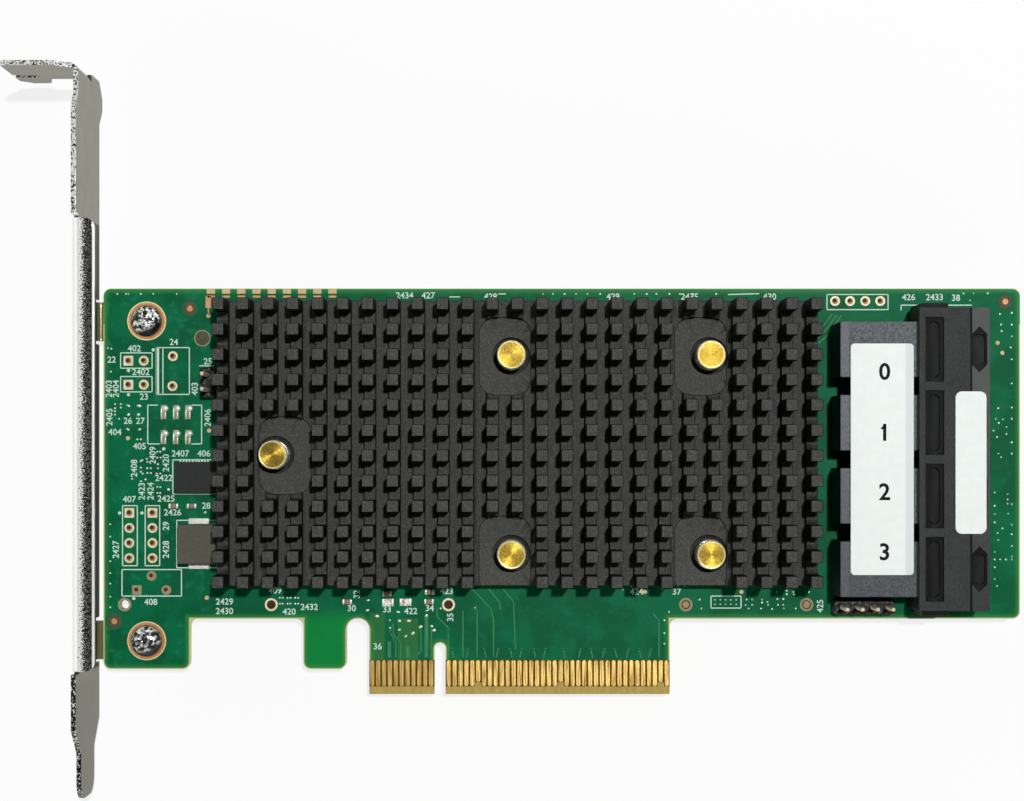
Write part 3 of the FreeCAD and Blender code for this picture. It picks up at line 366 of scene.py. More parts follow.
via_spots += [(97.1, along) for along in (64.8, 62.8, 60.8, 56.9, 52.8, 48.7, 46.8, 42.8, 40.9, 32.3, 28.8,
                                          27.2, 25.2, 23.4, 22.9)]
random.seed(4)
vias = bmesh.new()
for spot in via_spots:
    disc(vias, spot, VIA_RADIUS, TOP, COPPER_HEIGHT, 8)
for step in range(UNDER_VIAS):
    spot = (random.uniform(-55, 96), random.uniform(14, 67.5))
    disc(vias, spot, VIA_RADIUS, UNDER - COPPER_HEIGHT, COPPER_HEIGHT, 8, 1.0)
tin = finish("tinned_caps")
tin.surface({
    "Base Color": tin.mix(tin.ramp(tin.noise(0.8), 0.35, 0.65), paint(120, 178, 142), paint(222, 236, 220)),
    "Metallic": 0.2,
    "Roughness": tin.noise(2.0) * 0.3 + 0.35,
})
piece(vias, "via_caps", tin)


# Open pads: where the lacquer is left off, the copper shows bare under the screws and at the locating
# marks, gilded round the drilled holes, and dull where it was never soldered.
def turned(shape, spot, outline, steps=32, closed=True):
    """An outline of (radius, height) points spun about an upright axis through a spot."""
    rim = [shape.verts.new((spot[0] + radius, spot[1], height)) for radius, height in outline]
    lines = [shape.edges.new((rim[i - 1], rim[i])) for i in range(0 if closed else 1, len(rim))]
    bmesh.ops.spin(shape, geom=rim + lines, cent=(*spot, 0), axis=(0, 0, 1), angle=2 * pi, steps=steps,
                   use_merge=True)


def ring(shape, spot, inner, outer, low, height, steps=20):
    """A flat washer on the board."""
    turned(shape, spot, [(inner, low), (outer, low), (outer, low + height), (inner, low + height)], steps)


def pad(shape, spot, length, width, low):
    """A flat rectangle of copper, centred on a spot."""
    across, along = spot
    bar(shape, (across - length / 2, along), (across + length / 2, along), width, low, COPPER_HEIGHT)


screw_spots = ((-49.8, 9.1), (-49.8, 63.4))
SCREW_PAD = 3.3
SCREW_PAD_BORE = 1.9
SCREW_PAD_BORE_UNDER = 2.6
MARK_RADIUS = 0.5
MARK_WINDOW = 1.5
TEST_PAD = 0.36
CORNER_PAD = ((-39.35, 65.6), (-39.35, 67.65))
CORNER_PAD_WIDTH = 0.9
fiducial_spots = ((-42.47, 65.53), (-55.28, 12.42), (95.99, 66.7))
test_spots = ((-39.3, 64.3), (-53.0, 43.5), (-39.2, 44.8), (-39.6, 16.4), (34.8, 17.4), (51.2, 17.4),
              (94.7, 59.7), (95.5, 58.0))
large_blobs = [(-46.84 + 2.07 * step, along) for along in (47.94, 43.7) for step in range(3)]
STRIP_PITCH = 2.58
STRIP_LENGTH = 1.4
STRIP_WIDTH = 0.8
STRIP_MIDDLE = 68.45
LINE_LENGTH = 1.3
LINE_WIDTH = 0.35
LINE_MIDDLE = 67.55
strip_columns = [-38.9 + STRIP_PITCH * step for step in range(9)]
bare_copper = bmesh.new()
for spot in screw_spots:
    ring(bare_copper, spot, SCREW_PAD_BORE, SCREW_PAD, TOP, COPPER_HEIGHT, 40)
    ring(bare_copper, spot, SCREW_PAD_BORE_UNDER, SCREW_PAD, UNDER - COPPER_HEIGHT, COPPER_HEIGHT, 40)
for spot in fiducial_spots:
    disc(bare_copper, spot, MARK_RADIUS, TOP, COPPER_HEIGHT * 2, 20, 1.0)
bar(bare_copper, *CORNER_PAD, CORNER_PAD_WIDTH, TOP, COPPER_HEIGHT)
bar(bare_copper, CORNER_PAD[0], test_spots[0], THIN_TRACK, TOP, COPPER_HEIGHT)
for column in strip_columns:
    pad(bare_copper, (column, LINE_MIDDLE), LINE_LENGTH, LINE_WIDTH, TOP)
copper = finish("open_copper")
x, y, _ = copper.split(copper.place())
from_screw = (copper.span(x - screw_spots[0][0], y - screw_spots[0][1])
              & copper.span(x - screw_spots[1][0], y - screw_spots[1][1]))
wear_and_shade = copper.mix(copper.noise(1.5, 3.0), paint(150, 104, 66), paint(204, 152, 106))
# The dark brown ring just outside the screw head is painted shade from the head.
wear_and_shade = copper.mix(1 - copper.ramp(from_screw, 2.55, 2.9), wear_and_shade, paint(100, 68, 44))
wear_and_shade = copper.mix((from_screw > 3.12) & (from_screw < 3.4), wear_and_shade, paint(226, 198, 148))
copper.surface({
    "Base Color": wear_and_shade,
    "Metallic": 0.5,
    "Roughness": copper.noise(3.0) * 0.25 + 0.4,
    "Normal": copper.bump(copper.noise(3.0), 0.01),
})
piece(bare_copper, "open_copper_pads", copper)

edge_strips = bmesh.new()
for column in strip_columns:
    pad(edge_strips, (column, STRIP_MIDDLE), STRIP_LENGTH, STRIP_WIDTH, TOP)
for spot in test_spots:
    disc(edge_strips, spot, TEST_PAD, TOP, COPPER_HEIGHT, 14)
strip_gilt = mottled("edge_strips", (1.0,), (186, 158, 96), (226, 206, 150), (2.0, 0.2, 0.5))
piece(edge_strips, "edge_strips", strip_gilt)

HOLE_PITCH = 2.56
dull_spots = ((-51.48, 17.72), (-48.98, 20.12), (-46.47, 17.72))
square_pads = [(-52.92, 56.66), (-52.92, 52.59), (-52.75, 30.82), (-48.83, 30.82)]
round_pads = [(-50.3, 56.66), (-50.3, 52.59), (-45.36, 57.43), (-45.43, 52.35)]
round_pads += [(column, 30.82 - HOLE_PITCH * step) for column in (-52.75, -48.83) for step in (1, 2, 3)]
round_pads += [(67.09 + HOLE_PITCH * step, 66.8) for step in range(4)]
tooling_spots = [(column, 15.24) for column in (-53.55, -28.65, 1.45, 41.75, 62.25)]
TOOLING_HOLE = 0.76
TOOLING_RING = 1.1
DULL_RING = 1.15
PAD_OUTER = 0.84
PAD_HOLE = 0.5
PAD_SIDE = 1.64
open_pads = bmesh.new()
barrel_and_shade_discs = bmesh.new()
hole_shade_discs = bmesh.new()
for level in (TOP, UNDER - COPPER_HEIGHT):
    for spot in round_pads:
        ring(open_pads, spot, PAD_HOLE, PAD_OUTER, level, COPPER_HEIGHT)
    for spot in square_pads:
        pad(open_pads, spot, PAD_SIDE, PAD_SIDE, level)
    for spot in tooling_spots[1:3]:
        ring(open_pads, spot, TOOLING_HOLE, TOOLING_RING, level, COPPER_HEIGHT, 28)
# In each hole a brown-gold disc shows the plated barrel, and a smaller dark disc set off to the upper left
# is painted shade inside the hole.
for spot in [*round_pads, *square_pads, *dull_spots]:
    disc(barrel_and_shade_discs, spot, PAD_HOLE + 0.06, TOP, COPPER_HEIGHT * 1.2, 16, 0.95)
    disc(barrel_and_shade_discs, spot, PAD_HOLE, UNDER - COPPER_HEIGHT * 1.2, COPPER_HEIGHT * 1.2, 16, 1.0)
    disc(hole_shade_discs, (spot[0] - 0.1, spot[1] + 0.08), PAD_HOLE * 0.75, TOP, COPPER_HEIGHT * 1.5, 14, 0.9)
# Sunk discs fill the tooling holes with painted shade: dark ones, with brown ones over them in the last
# two.
for spot in tooling_spots[1:]:
    disc(hole_shade_discs, spot, TOOLING_HOLE - 0.02, TOP - 0.4, 0.3, 24, 1.0)
for spot in tooling_spots[3:]:
    disc(barrel_and_shade_discs, spot, TOOLING_HOLE - 0.18, TOP - 0.3, 0.3, 24, 1.0)
gilt = mottled("gilded_pads", (1.8, 3.0), (190, 172, 120), (246, 240, 212), (2.0, 0.3, 0.35), metallic=0.2)
piece(open_pads, "open_pads", gilt)
hole_brown = mottled("hole_barrels_and_shade", (2.0, 3.0), (122, 92, 46), (186, 154, 92), (1.5, 0.2, 0.45))
piece(barrel_and_shade_discs, "hole_barrels_and_shade", hole_brown)
hole_dark = mottled("hole_shade_discs", (2.0, 3.0), (40, 28, 14), (84, 62, 34), (1.5, 0.2, 0.5), specular=0.1)
piece(hole_shade_discs, "hole_shade_discs", hole_dark)

DULL_SIDE = 1.6
LONG_PAD_HALF = 1.2
LONG_PAD_WIDTH = 0.95
LONG_PAD_SHIFT = -0.1
dull_pads = bmesh.new()
for spot in dull_spots[1:]:
    ring(dull_pads, spot, PAD_HOLE, PAD_OUTER, TOP, COPPER_HEIGHT)
pad(dull_pads, dull_spots[0], DULL_SIDE, DULL_SIDE, TOP)
for level in (TOP, UNDER - COPPER_HEIGHT):
    for spot in (tooling_spots[0], *tooling_spots[3:]):
        ring(dull_pads, spot, TOOLING_HOLE, DULL_RING, level, COPPER_HEIGHT, 28)
for across, along in large_blobs:
    across += LONG_PAD_SHIFT
    bar(dull_pads, (across, along - LONG_PAD_HALF), (across, along + LONG_PAD_HALF), LONG_PAD_WIDTH, TOP,
        COPPER_HEIGHT)
PLUG_SPOT = (-40.35, 60.47)
PLUG_RADIUS = 1.2
ring(dull_pads, PLUG_SPOT, PLUG_RADIUS, PLUG_RADIUS + 0.2, TOP, COPPER_HEIGHT, 32)
dull_copper = mottled("dull_copper", (1.5, 3.0), (118, 112, 84), (172, 164, 132), (2.0, 0.2, 0.5),
                      specular=0.2)
piece(dull_pads, "dull_pads", dull_copper)

mask_windows = bmesh.new()
for spot in fiducial_spots:
    ring(mask_windows, spot, MARK_RADIUS, MARK_WINDOW, TOP, COPPER_HEIGHT * 0.5, 28)
disc(mask_windows, PLUG_SPOT, PLUG_RADIUS, TOP, COPPER_HEIGHT * 0.5, 28, 1.0)
bare_laminate = finish("bare_laminate")
x, y, _ = bare_laminate.split(bare_laminate.place())
from_mark = bare_laminate.span(x - PLUG_SPOT[0], y - PLUG_SPOT[1])
for across, along in fiducial_spots:
    from_mark = from_mark & bare_laminate.span(x - across, y - along)
soiled = bare_laminate.mix(bare_laminate.noise(1.5, 3.0), paint(58, 56, 40), paint(104, 102, 80))
lacquered = bare_laminate.ramp(from_mark, 0.8, MARK_WINDOW)
bare_laminate.surface({
    "Base Color": bare_laminate.mix(lacquered, soiled, paint(14, 96, 62)),
    "Roughness": bare_laminate.noise(2.0) * 0.2 + 0.5,
    "Specular IOR Level": 0.1,
})
piece(mask_windows, "mask_windows", bare_laminate)


# Solder: tin alloy melted onto the smaller pads, which leaves a bright domed blob on each of them, also
# where no part was fitted.
def blob(shape, spot, size, rounds, turn=0.0):
    """A low dome of solder."""
    place = (Matrix.Translation((*spot, TOP)) @ Matrix.Rotation(turn, 4, "Z")
             @ Matrix.Diagonal((*size, 1)))
    bmesh.ops.create_icosphere(shape, subdivisions=rounds, radius=0.5, matrix=place)


pad_blobs = [(-52.9, 49.0), (-51.1, 49.0), (-52.9, 47.5), (-51.2, 47.5), (-53.0, 45.0), (-51.0, 45.0),
             (-50.7, 39.7), (-46.1, 34.8), (-39.9, 30.9), (-12.2, 16.0), (-12.3, 14.3), (-10.7, 13.3),
             (-7.1, 14.0), (-6.9, 12.5), (-5.3, 12.5), (-6.9, 11.0), (-5.8, 9.9), (-4.6, 10.4),
             (-3.3, 11.5), (-2.3, 13.4), (-1.4, 11.6), (-1.0, 10.9)]
speck_blobs = [(-54.2, 49.3), (-54.2, 48.7), (-55.2, 49.3), (-55.2, 48.6), (-55.2, 48.1), (-55.2, 47.5),
               (-54.5, 46.8), (-51.4, 43.3), (-50.8, 43.3), (-48.0, 41.2), (-47.5, 41.2), (-48.0, 40.2),
               (-47.4, 40.2), (-49.8, 40.0), (-49.7, 39.5), (-50.8, 38.5), (-50.8, 37.8), (-47.9, 39.1),
               (-47.9, 38.4), (-49.7, 38.4), (-49.1, 38.4), (-50.5, 37.5), (-49.7, 37.6), (-49.1, 37.6),
               (-48.1, 37.5), (-47.5, 37.5), (-50.8, 36.2), (-50.0, 36.5), (-52.3, 36.6), (-48.0, 35.2),
               (-47.5, 35.2), (-48.0, 34.2), (-47.5, 34.2)]
speck_blobs += [(-27.2 + 1.3 * step + 0.5 * side, 15.4 + 1.0 * row)
                for row in (0, 1) for step in range(3) for side in (0, 1)]
speck_blobs += [(-44.1 + 0.52 * step, 39.6) for step in range(10)]
SPECK_SIZE = (0.42, 0.36, 0.16)
solder_blobs = bmesh.new()
for across, along in large_blobs:
    blob(solder_blobs, (across + 0.15, along + 0.6), (1.25, 1.15, 0.5), 2)
    blob(solder_blobs, (across - 0.45, along - 0.2), (0.35, 2.2, 0.3), 2)
    blob(solder_blobs, (across + 0.2, along - 0.5), (0.3, 1.5, 0.25), 2)
for spot in pad_blobs:
    blob(solder_blobs, spot, (random.uniform(0.55, 0.85), random.uniform(0.34, 0.5), 0.2), 2,
         random.uniform(-0.6, 0.9))
for spot in speck_blobs:
    blob(solder_blobs, spot, SPECK_SIZE, 1)
solder = mottled("solder", (1.6, 3.0), (176, 184, 164), (246, 252, 244), (2.5, 0.2, 0.25), (2.0, 0.03),
                 metallic=0.35)
piece(solder_blobs, "solder_blobs", solder, smooth=50)


# Printing on the board: minty white ink put on through a screen, one thin coat. It outlines where parts sit
# and numbers them in plain figures.
INK_HEIGHT = 0.02
INK_LINE = 0.18
INK_DOT = 0.28
GRID_DOT = 0.12
GRID_START = (46.7, 15.3)
GRID_STEP = (0.9, 0.75)
ink_boxes = (
    (-54.24, 55.39, -48.89, 57.99), (-54.24, 51.37, -48.89, 53.98), (-48.18, 50.94, -42.56, 58.89),
    (-45.37, 34.04, -37.87, 39.84), (-53.9, 21.85, -51.4, 32.05), (-50.06, 21.85, -47.6, 32.05),
    (-54.0, 16.7, -43.9, 21.2), (65.73, 65.34, 76.09, 67.91), (46.03, 14.66, 51.12, 16.7),
    (-44.7, 21.5, -37.87, 29.56),
)
ink_dots = ((-48.7, 58.5), (-52.9, 55.0), (-52.9, 50.9), (-46.9, 41.7), (-50.6, 30.8), (-52.0, 16.3),
            (-54.4, 30.8))
ink_strokes = (
    ((-47.9, 49.12), (-49.63, 49.12), (-49.63, 42.53), (-47.6, 42.53)),
    ((-42.2, 49.12), (-40.48, 49.12), (-40.48, 42.53), (-42.2, 42.53)),
    ((78.3, 65.2), (78.3, 66.1), (90.3, 66.1)), ((-40.9, 55.8), (-38.4, 55.8)),
    ((1.6, 67.5), (3.4, 67.5)), ((9.9, 68.0), (11.2, 68.0)), ((48.9, 67.9), (54.2, 68.05)),
)
ink_lines = bmesh.new()
for points in ink_strokes:
    trace(ink_lines, points, INK_LINE, TOP, INK_HEIGHT)
for left, low, right, high in ink_boxes:
    points = ((left, high), (left, low), (right, low), (right, high), (left, high))
    trace(ink_lines, points, INK_LINE, TOP, INK_HEIGHT)
bar(ink_lines, (-47.95, 50.94), (-47.95, 58.89), 0.5, TOP, INK_HEIGHT)
bar(ink_lines, (-47.05, 50.94), (-47.05, 58.89), INK_LINE, TOP, INK_HEIGHT)
for spot in ink_dots:
    disc(ink_lines, spot, INK_DOT, TOP, INK_HEIGHT, 12, 1.0)
for column in range(5):
    for row in range(2):
        spot = (GRID_START[0] + GRID_STEP[0] * column, GRID_START[1] + GRID_STEP[1] * row)
        disc(ink_lines, spot, GRID_DOT, TOP, INK_HEIGHT, 8, 1.0)
ink = mottled("board_ink", (2.0, 3.0), (168, 212, 188), (222, 242, 228), (3.0, 0.2, 0.5))
piece(ink_lines, "ink_outlines", ink)


def figures(shape, text, spot, height, turn, low, thickness, weight=0.02):
    """Raised plain figures, centred on a spot."""
    curve = bpy.data.curves.new("figures", "FONT")
    curve.body = text
    curve.size = height / 0.7
    curve.offset = height * weight
    curve.align_x = "CENTER"
    curve.align_y = "CENTER"
    curve.resolution_u = 3
    curve.extrude = thickness / 2
    holder = bpy.data.objects.new("figures", curve)
    mesh = bpy.data.meshes.new_from_object(holder)
    mesh.transform(Matrix.Translation((*spot, low + thickness / 2))
                   @ Matrix.Rotation(radians(turn), 4, "Z"))
    shape.from_mesh(mesh)
    bpy.data.meshes.remove(mesh)
    bpy.data.objects.remove(holder)
    bpy.data.curves.remove(curve)


FIGURE_HEIGHT = 1.05
figure_spots = (
    (2, -55.75, 56.8, 0), (3, -51.9, 58.7, 0), (4, -50.8, 54.7, 0), (2, -50.25, 50.5, 0),
    (2, -45.2, 59.8, 0), (4, -56.2, 51.9, 90), (4, -55.0, 51.9, 90), (2, -39.4, 56.5, 0),
    (3, -41.6, 51.9, 90), (4, -56.1, 47.1, 90), (2, -53.0, 46.4, 0), (2, -50.9, 46.4, 0),
    (3, -55.2, 44.5, 0), (3, -51.0, 42.1, 0), (4, -39.4, 47.0, 90), (4, -44.1, 40.85, 0),
    (3, -40.1, 40.85, 0), (4, -51.9, 38.4, 90), (4, -48.75, 40.6, 90), (4, -46.5, 39.3, 90),
    (4, -46.9, 36.7, 0), (4, -50.6, 34.5, 90), (4, -49.1, 34.5, 90), (4, -46.5, 33.2, 0),
    (3, -52.75, 33.1, 0), (4, -45.4, 30.85, 0), (2, -39.7, 32.0, 0), (4, -55.0, 24.6, 90),
    (4, -46.5, 24.6, 90), (2, -46.5, 28.6, 90), (3, -49.1, 15.65, 0), (4, -36.6, 15.7, 0),
    (4, -36.6, 14.1, 0), (3, -28.0, 17.6, 0), (4, -22.2, 14.8, 0), (3, -25.6, 14.0, 0),
    (2, -15.0, 14.6, 0), (2, -14.1, 17.0, 90), (2, -9.0, 14.4, 0), (3, -4.94, 14.1, 0),
    (2, -1.75, 14.6, 0), (3, 1.15, 17.5, 0), (2, 1.8, 13.1, 90), (2, -10.6, 8.1, 0), (3, 33.4, 17.4, 0),
    (2, 40.2, 17.4, 0), (3, 64.6, 15.0, 90), (3, 79.6, 67.4, 0), (4, 84.0, 67.4, 0), (2, 87.6, 67.3, 0),
    (4, -6.0, 67.7, 0), (3, -2.0, 67.7, 0), (3, 8.6, 67.5, 0), (3, 29.4, 67.5, 0), (4, 42.4, 67.5, 0),
    (3, 56.0, 67.5, 0),
)
last_number = {2: 21, 3: 401, 4: 2401}
ink_figures = bmesh.new()
for digits, across, along, turn in figure_spots:
    last_number[digits] += 1
    # The font's 1 is a bare stroke that would read as an outline, so numbers with a 1 are passed over.
    while "1" in str(last_number[digits]):
        last_number[digits] += 1
    figures(ink_figures, str(last_number[digits]), (across, along), FIGURE_HEIGHT, turn, TOP, INK_HEIGHT)
piece(ink_figures, "ink_figures", ink)


# Edge contacts: gold-plated copper fingers on both faces of the tongue, one millimetre apart with a gap at
# the key. Their ends are rounded, and a few stop short so that they meet the socket last.
gold = finish("contact_gold")
rub = gold.noise(1.0, 3.0, (6, 0.25, 1))
x = gold.split(gold.place())[0]
rubbed = gold.mix(gold.ramp(rub, 0.3, 0.66), paint(136, 100, 32), paint(224, 192, 108))
gold.surface({
    "Base Color": gold.mix((x < -0.9) * 0.5, rubbed, paint(150, 118, 54)),
    "Metallic": 0.6,
    "Roughness": rub * 0.25 + 0.25,
    "Normal": gold.bump(rub, 0.004),
})
contact_columns = [-1.5 - step for step in range(11)] + [1.5 + step for step in range(38)]
CONTACT_WIDTH = 0.7
CONTACT_CORNER = 0.3
CONTACT_HIGH = 5.8
CONTACT_PLATING = 0.04
for name, level in (("edge_contacts_front", TOP), ("edge_contacts_back", UNDER - CONTACT_PLATING)):
    fingers = bmesh.new()
    for column in contact_columns:
        low = SHORT_LOW if column in short_columns else CONTACT_LOW
        bar(fingers, (column, low), (column, CONTACT_HIGH), CONTACT_WIDTH, level, CONTACT_PLATING)
    corners = [edge for edge in fingers.edges
               if abs(edge.verts[0].co.z - edge.verts[1].co.z) > CONTACT_PLATING / 2]
    bmesh.ops.bevel(fingers, geom=corners, offset=CONTACT_CORNER, offset_type="OFFSET", affect="EDGES",
                    segments=2, profile=0.5, material=-1)
    contacts = piece(fingers, name + "_fingers", gold)
    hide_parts(name)


# Small parts on the board: power inductor, power chip, chip capacitors, fuses, memory and crystal, all
# soldered flat on their pads. They are moulded or pressed, so none of their edges is quite sharp.
def softened(node, width, surface, segments=1, crowded=None):
    """A copy of a solid with its outer edges broken, apart from crowded ones, which stands for it."""
    shape = bmesh.new()
    shape.from_mesh(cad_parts[node].data)
    bmesh.ops.scale(shape, vec=(1 / MM,) * 3, verts=shape.verts)
    bmesh.ops.remove_doubles(shape, verts=shape.verts, dist=1e-4)
    bmesh.ops.dissolve_limit(shape, angle_limit=radians(0.5), verts=shape.verts, edges=shape.edges)
    sharp = [edge for edge in shape.edges
             if edge.is_manifold and edge.is_convex and edge.calc_face_angle() > radians(35)
             and not (crowded and crowded((edge.verts[0].co + edge.verts[1].co) / 2))]
    bmesh.ops.bevel(shape, geom=sharp, offset=width, offset_type="OFFSET", affect="EDGES",
                    segments=segments, profile=0.5, material=-1)
    bmesh.ops.triangulate(shape, faces=[face for face in shape.faces if len(face.verts) > 4])
    copy = piece(shape, node + "_dressed", surface, smooth=50)
    level_faces = copy.modifiers.new("level_faces", "WEIGHTED_NORMAL")
    level_faces.keep_sharp = True
    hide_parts(node)


core = mottled("coil_compound", (2.5, 3.0), (76, 75, 65), (98, 96, 84), (2.0, 0.2, 0.5), (5.0, 0.008),
               specular=0.15)
softened("power_inductor_core", 0.25, core, 2)
softened("power_inductor_terminals", 0.12, solder, 2)
mould = mottled("chip_mould", (3.0, 3.0), (38, 41, 39), (58, 61, 59), (2.0, 0.15, 0.55), (6.0, 0.004),
                specular=0.1)
softened("power_stage_chip", 0.1, mould)
softened("flash_memory", 0.1, mould)
tan = mottled("tan_ceramic", (2.0, 3.0), (112, 92, 70), (160, 136, 106), (2.0, 0.2, 0.4))
softened("chip_capacitor_bodies", 0.06, tan)
softened("chip_capacitor_ends", 0.08, solder, 2)
pale = finish("pale_ceramic")
glaze = pale.ramp(pale.noise(1.6, 2.0), 0.36, 0.6)
pale.surface({
    "Base Color": pale.mix(glaze, paint(132, 112, 66), paint(240, 238, 226)),
    "Roughness": pale.noise(2.0) * 0.2 + 0.4,
})
softened("chip_fuse_bodies", 0.06, pale)
softened("chip_fuse_ends", 0.08, solder, 2)
can = finish("crystal_can")
can.surface({
    "Base Color": can.mix(can.noise(2.0), paint(176, 176, 172), paint(210, 208, 202)),
    "Metallic": 1.0,
    "Roughness": can.noise(4.0, 2.0, (1, 6, 1)) * 0.2 + 0.25,
})
softened("clock_crystal", 0.15, can, 2)


# Controller under the heat sink: a fibre substrate with a nickelled lid, and a soft grey pad on it that
# takes up the gap to the heat sink. Only their edges are seen, from the side.
substrate = mottled("chip_substrate", (1.0, 3.0), (10, 62, 40), (22, 84, 56), (1.0, 0.2, 0.4))
softened("controller_substrate", 0.06, substrate)
lid = mottled("chip_lid", (1.0,), (168, 168, 164), (196, 195, 190), (3.0, 0.15, 0.35), metallic=1.0)
softened("controller_lid", 0.1, lid, 2)
rubber = mottled("thermal_rubber", (2.0, 3.0), (118, 120, 122), (150, 152, 152), (2.0, 0.1, 0.75),
                 (3.0, 0.02))
softened("thermal_pad", 0.08, rubber)


# Ports: four moulded contact blocks behind one shroud, in black glass-filled plastic with a fine grain, all
# pressed into the board. Gilded contacts lie in the noses' slots, and their tails pass through the board.
shroud_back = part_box("port_housing")[0].x / MM
shroud_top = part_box("port_housing")[1].z / MM
LIT_BACK_STRIP = 67.8
MOUTH_STRIP = 88.15
POCKET_DEPTH = 0.8
moulding = finish("black_moulding")
x, y, z = moulding.split(moulding.place())
grit = moulding.ramp(moulding.noise(5.0, 2.0, (1.0, 0.5, 1.0)), 0.3, 0.7)
cloud = moulding.noise(0.35, 3.0)
on_shroud = x > shroud_back - 0.05
block_grey = moulding.mix(grit, paint(72, 76, 78), paint(108, 114, 116))
# Along the back end of the blocks the grey is painted lighter: painted light falling on that end.
block_grey = moulding.mix((x < LIT_BACK_STRIP) * 0.45, block_grey, paint(122, 122, 132))
# The blocks are painted darker towards the lower ports, and the shroud's mouth strip lighter towards the
# upper ones: painted shade and painted light.
low_ports = 1 - moulding.ramp(y, 14, 50)
block_grey = moulding.mix(low_ports * 0.42, block_grey, paint(46, 48, 50))
shroud_grey = moulding.mix(cloud * 0.6 + grit * 0.4, paint(33, 34, 34), paint(64, 66, 65))
shroud_grey = moulding.mix((x > MOUTH_STRIP) * (1 - low_ports) * 0.4, shroud_grey, paint(108, 112, 106))
# Faces sunk below the roof are painted darker, the latch pockets most and the lower ports' recesses nearly
# black: painted shade.
in_pocket = (z < shroud_top - POCKET_DEPTH) & (x > MOUTH_STRIP)
recess_shade = moulding.mix(in_pocket, paint(25, 26, 26), paint(34, 37, 35))
recess_shade = moulding.mix(low_ports * 0.6, recess_shade, paint(8, 8, 8))
shroud_grey = moulding.mix(z < shroud_top - 0.15, shroud_grey, recess_shade)
# A narrow band of the blocks next to the shroud is painted dark: painted shadow of the shroud.
block_grey = moulding.mix(x > shroud_back - 0.45, block_grey, paint(26, 26, 27))
grey = moulding.mix(on_shroud, block_grey, shroud_grey)
# Faces that do not face up are painted near black, so only the tops show the grey: painted shade on the
# sides.
facing = moulding.split(moulding.node("NewGeometry", out="True Normal"))[2]
moulding.surface({
    "Base Color": moulding.mix(facing > 0.9, paint(20, 20, 21), grey),
    "Roughness": moulding.noise(1.5) * 0.2 + 0.5,
    "Normal": moulding.bump(moulding.noise(6.0, 3.0), 0.012),
    "Specular IOR Level": 0.15,
})
for number in (1, 2, 3, 4):
    softened(f"contact_module_{number}", 0.15, moulding, 2)


def beside_groove(spot):
    """The roof's groove runs into the lead-ins round the latch pockets."""
    return MOUTH_STRIP - 0.35 < spot.x < MOUTH_STRIP + 0.75 and spot.z > shroud_top - 0.3


softened("port_housing", 0.12, moulding, 2, beside_groove)
softened("port_contacts", 0.04, gold)
softened("port_tails", 0.08, solder)


# Pin headers: square gilded pins pressed through a small black moulding, soldered upright on the board. The
# pins' tops are cut to a blunt point.
header_black = finish("header_moulding")
glint = header_black.ramp(header_black.noise(1.8, 3.0), 0.5, 0.68)
header_black.surface({
    "Base Color": header_black.mix(glint, paint(20, 20, 21), paint(92, 92, 96)),
    "Roughness": header_black.noise(2.0) * 0.2 + 0.4,
    "Normal": header_black.bump(header_black.noise(2.0, 3.0), 0.03),
    "Specular IOR Level": 0.2,
})
for name in ("service_header", "jumper_header"):
    softened(name + "_base", 0.2, header_black)
    softened(name + "_pins", 0.14, gilt)


# Heat sink: an aluminium extrusion cut across into square pins, with five flats milled for the brass pins,
# then anodised black. The saw leaves fine lines along the ribs.
pin_spots = ((12.125, 24.145), (12.125, 57.195), (45.175, 24.145), (45.175, 57.195), (-27.35, 40.67))
WELL_RADIUS = 2.95
FLAT_TOP = 5.76
RIB_TOP = 7.15
anodised = finish("black_anodising")
sawn = anodised.noise(1.0, 4.0, (7, 0.3, 1))
dust = anodised.ramp(anodised.noise(4.0, 3.0), 0.45, 0.75)
x, y, z = anodised.split(anodised.place())
from_pin = anodised.span(x - pin_spots[0][0], y - pin_spots[0][1])
for across, along in pin_spots[1:]:
    from_pin = from_pin & anodised.span(x - across, y - along)
worked = anodised.mix(sawn * 0.5 + dust * 0.5, paint(44, 44, 41), paint(96, 96, 92))
milled = anodised.mix(dust, paint(72, 72, 68), paint(96, 96, 91))
# Within the wells round the brass pins the floor is painted darker: painted shade.
milled = anodised.mix(from_pin > WELL_RADIUS, paint(64, 64, 60), milled)
worked = anodised.mix(z < FLAT_TOP, worked, milled)
# The sides of the pins are painted near black and the sides of the ribs nearly so: painted shade, while
# up-facing faces keep the worked grey.
shaded_sides = anodised.mix(z > RIB_TOP, paint(26, 26, 25), paint(8, 8, 8))
facing = anodised.split(anodised.node("NewGeometry", out="True Normal"))[2]
anodised.surface({
    "Base Color": anodised.mix(facing > 0.9, shaded_sides, worked),
    "Roughness": anodised.noise(3.0) * 0.2 + 0.5,
    "Normal": anodised.bump(sawn, 0.008),
    "Specular IOR Level": 0.1,
})
sink_low, sink_high = (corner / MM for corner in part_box("heat_sink"))


def under_end_pins(spot):
    """The floor's ends are flush with the last pins."""
    at_end = spot.x < sink_low.x + 0.1 or spot.x > sink_high.x - 0.1
    return at_end and FLAT_TOP < spot.z < RIB_TOP


softened("heat_sink", 0.11, anodised, crowded=under_end_pins)


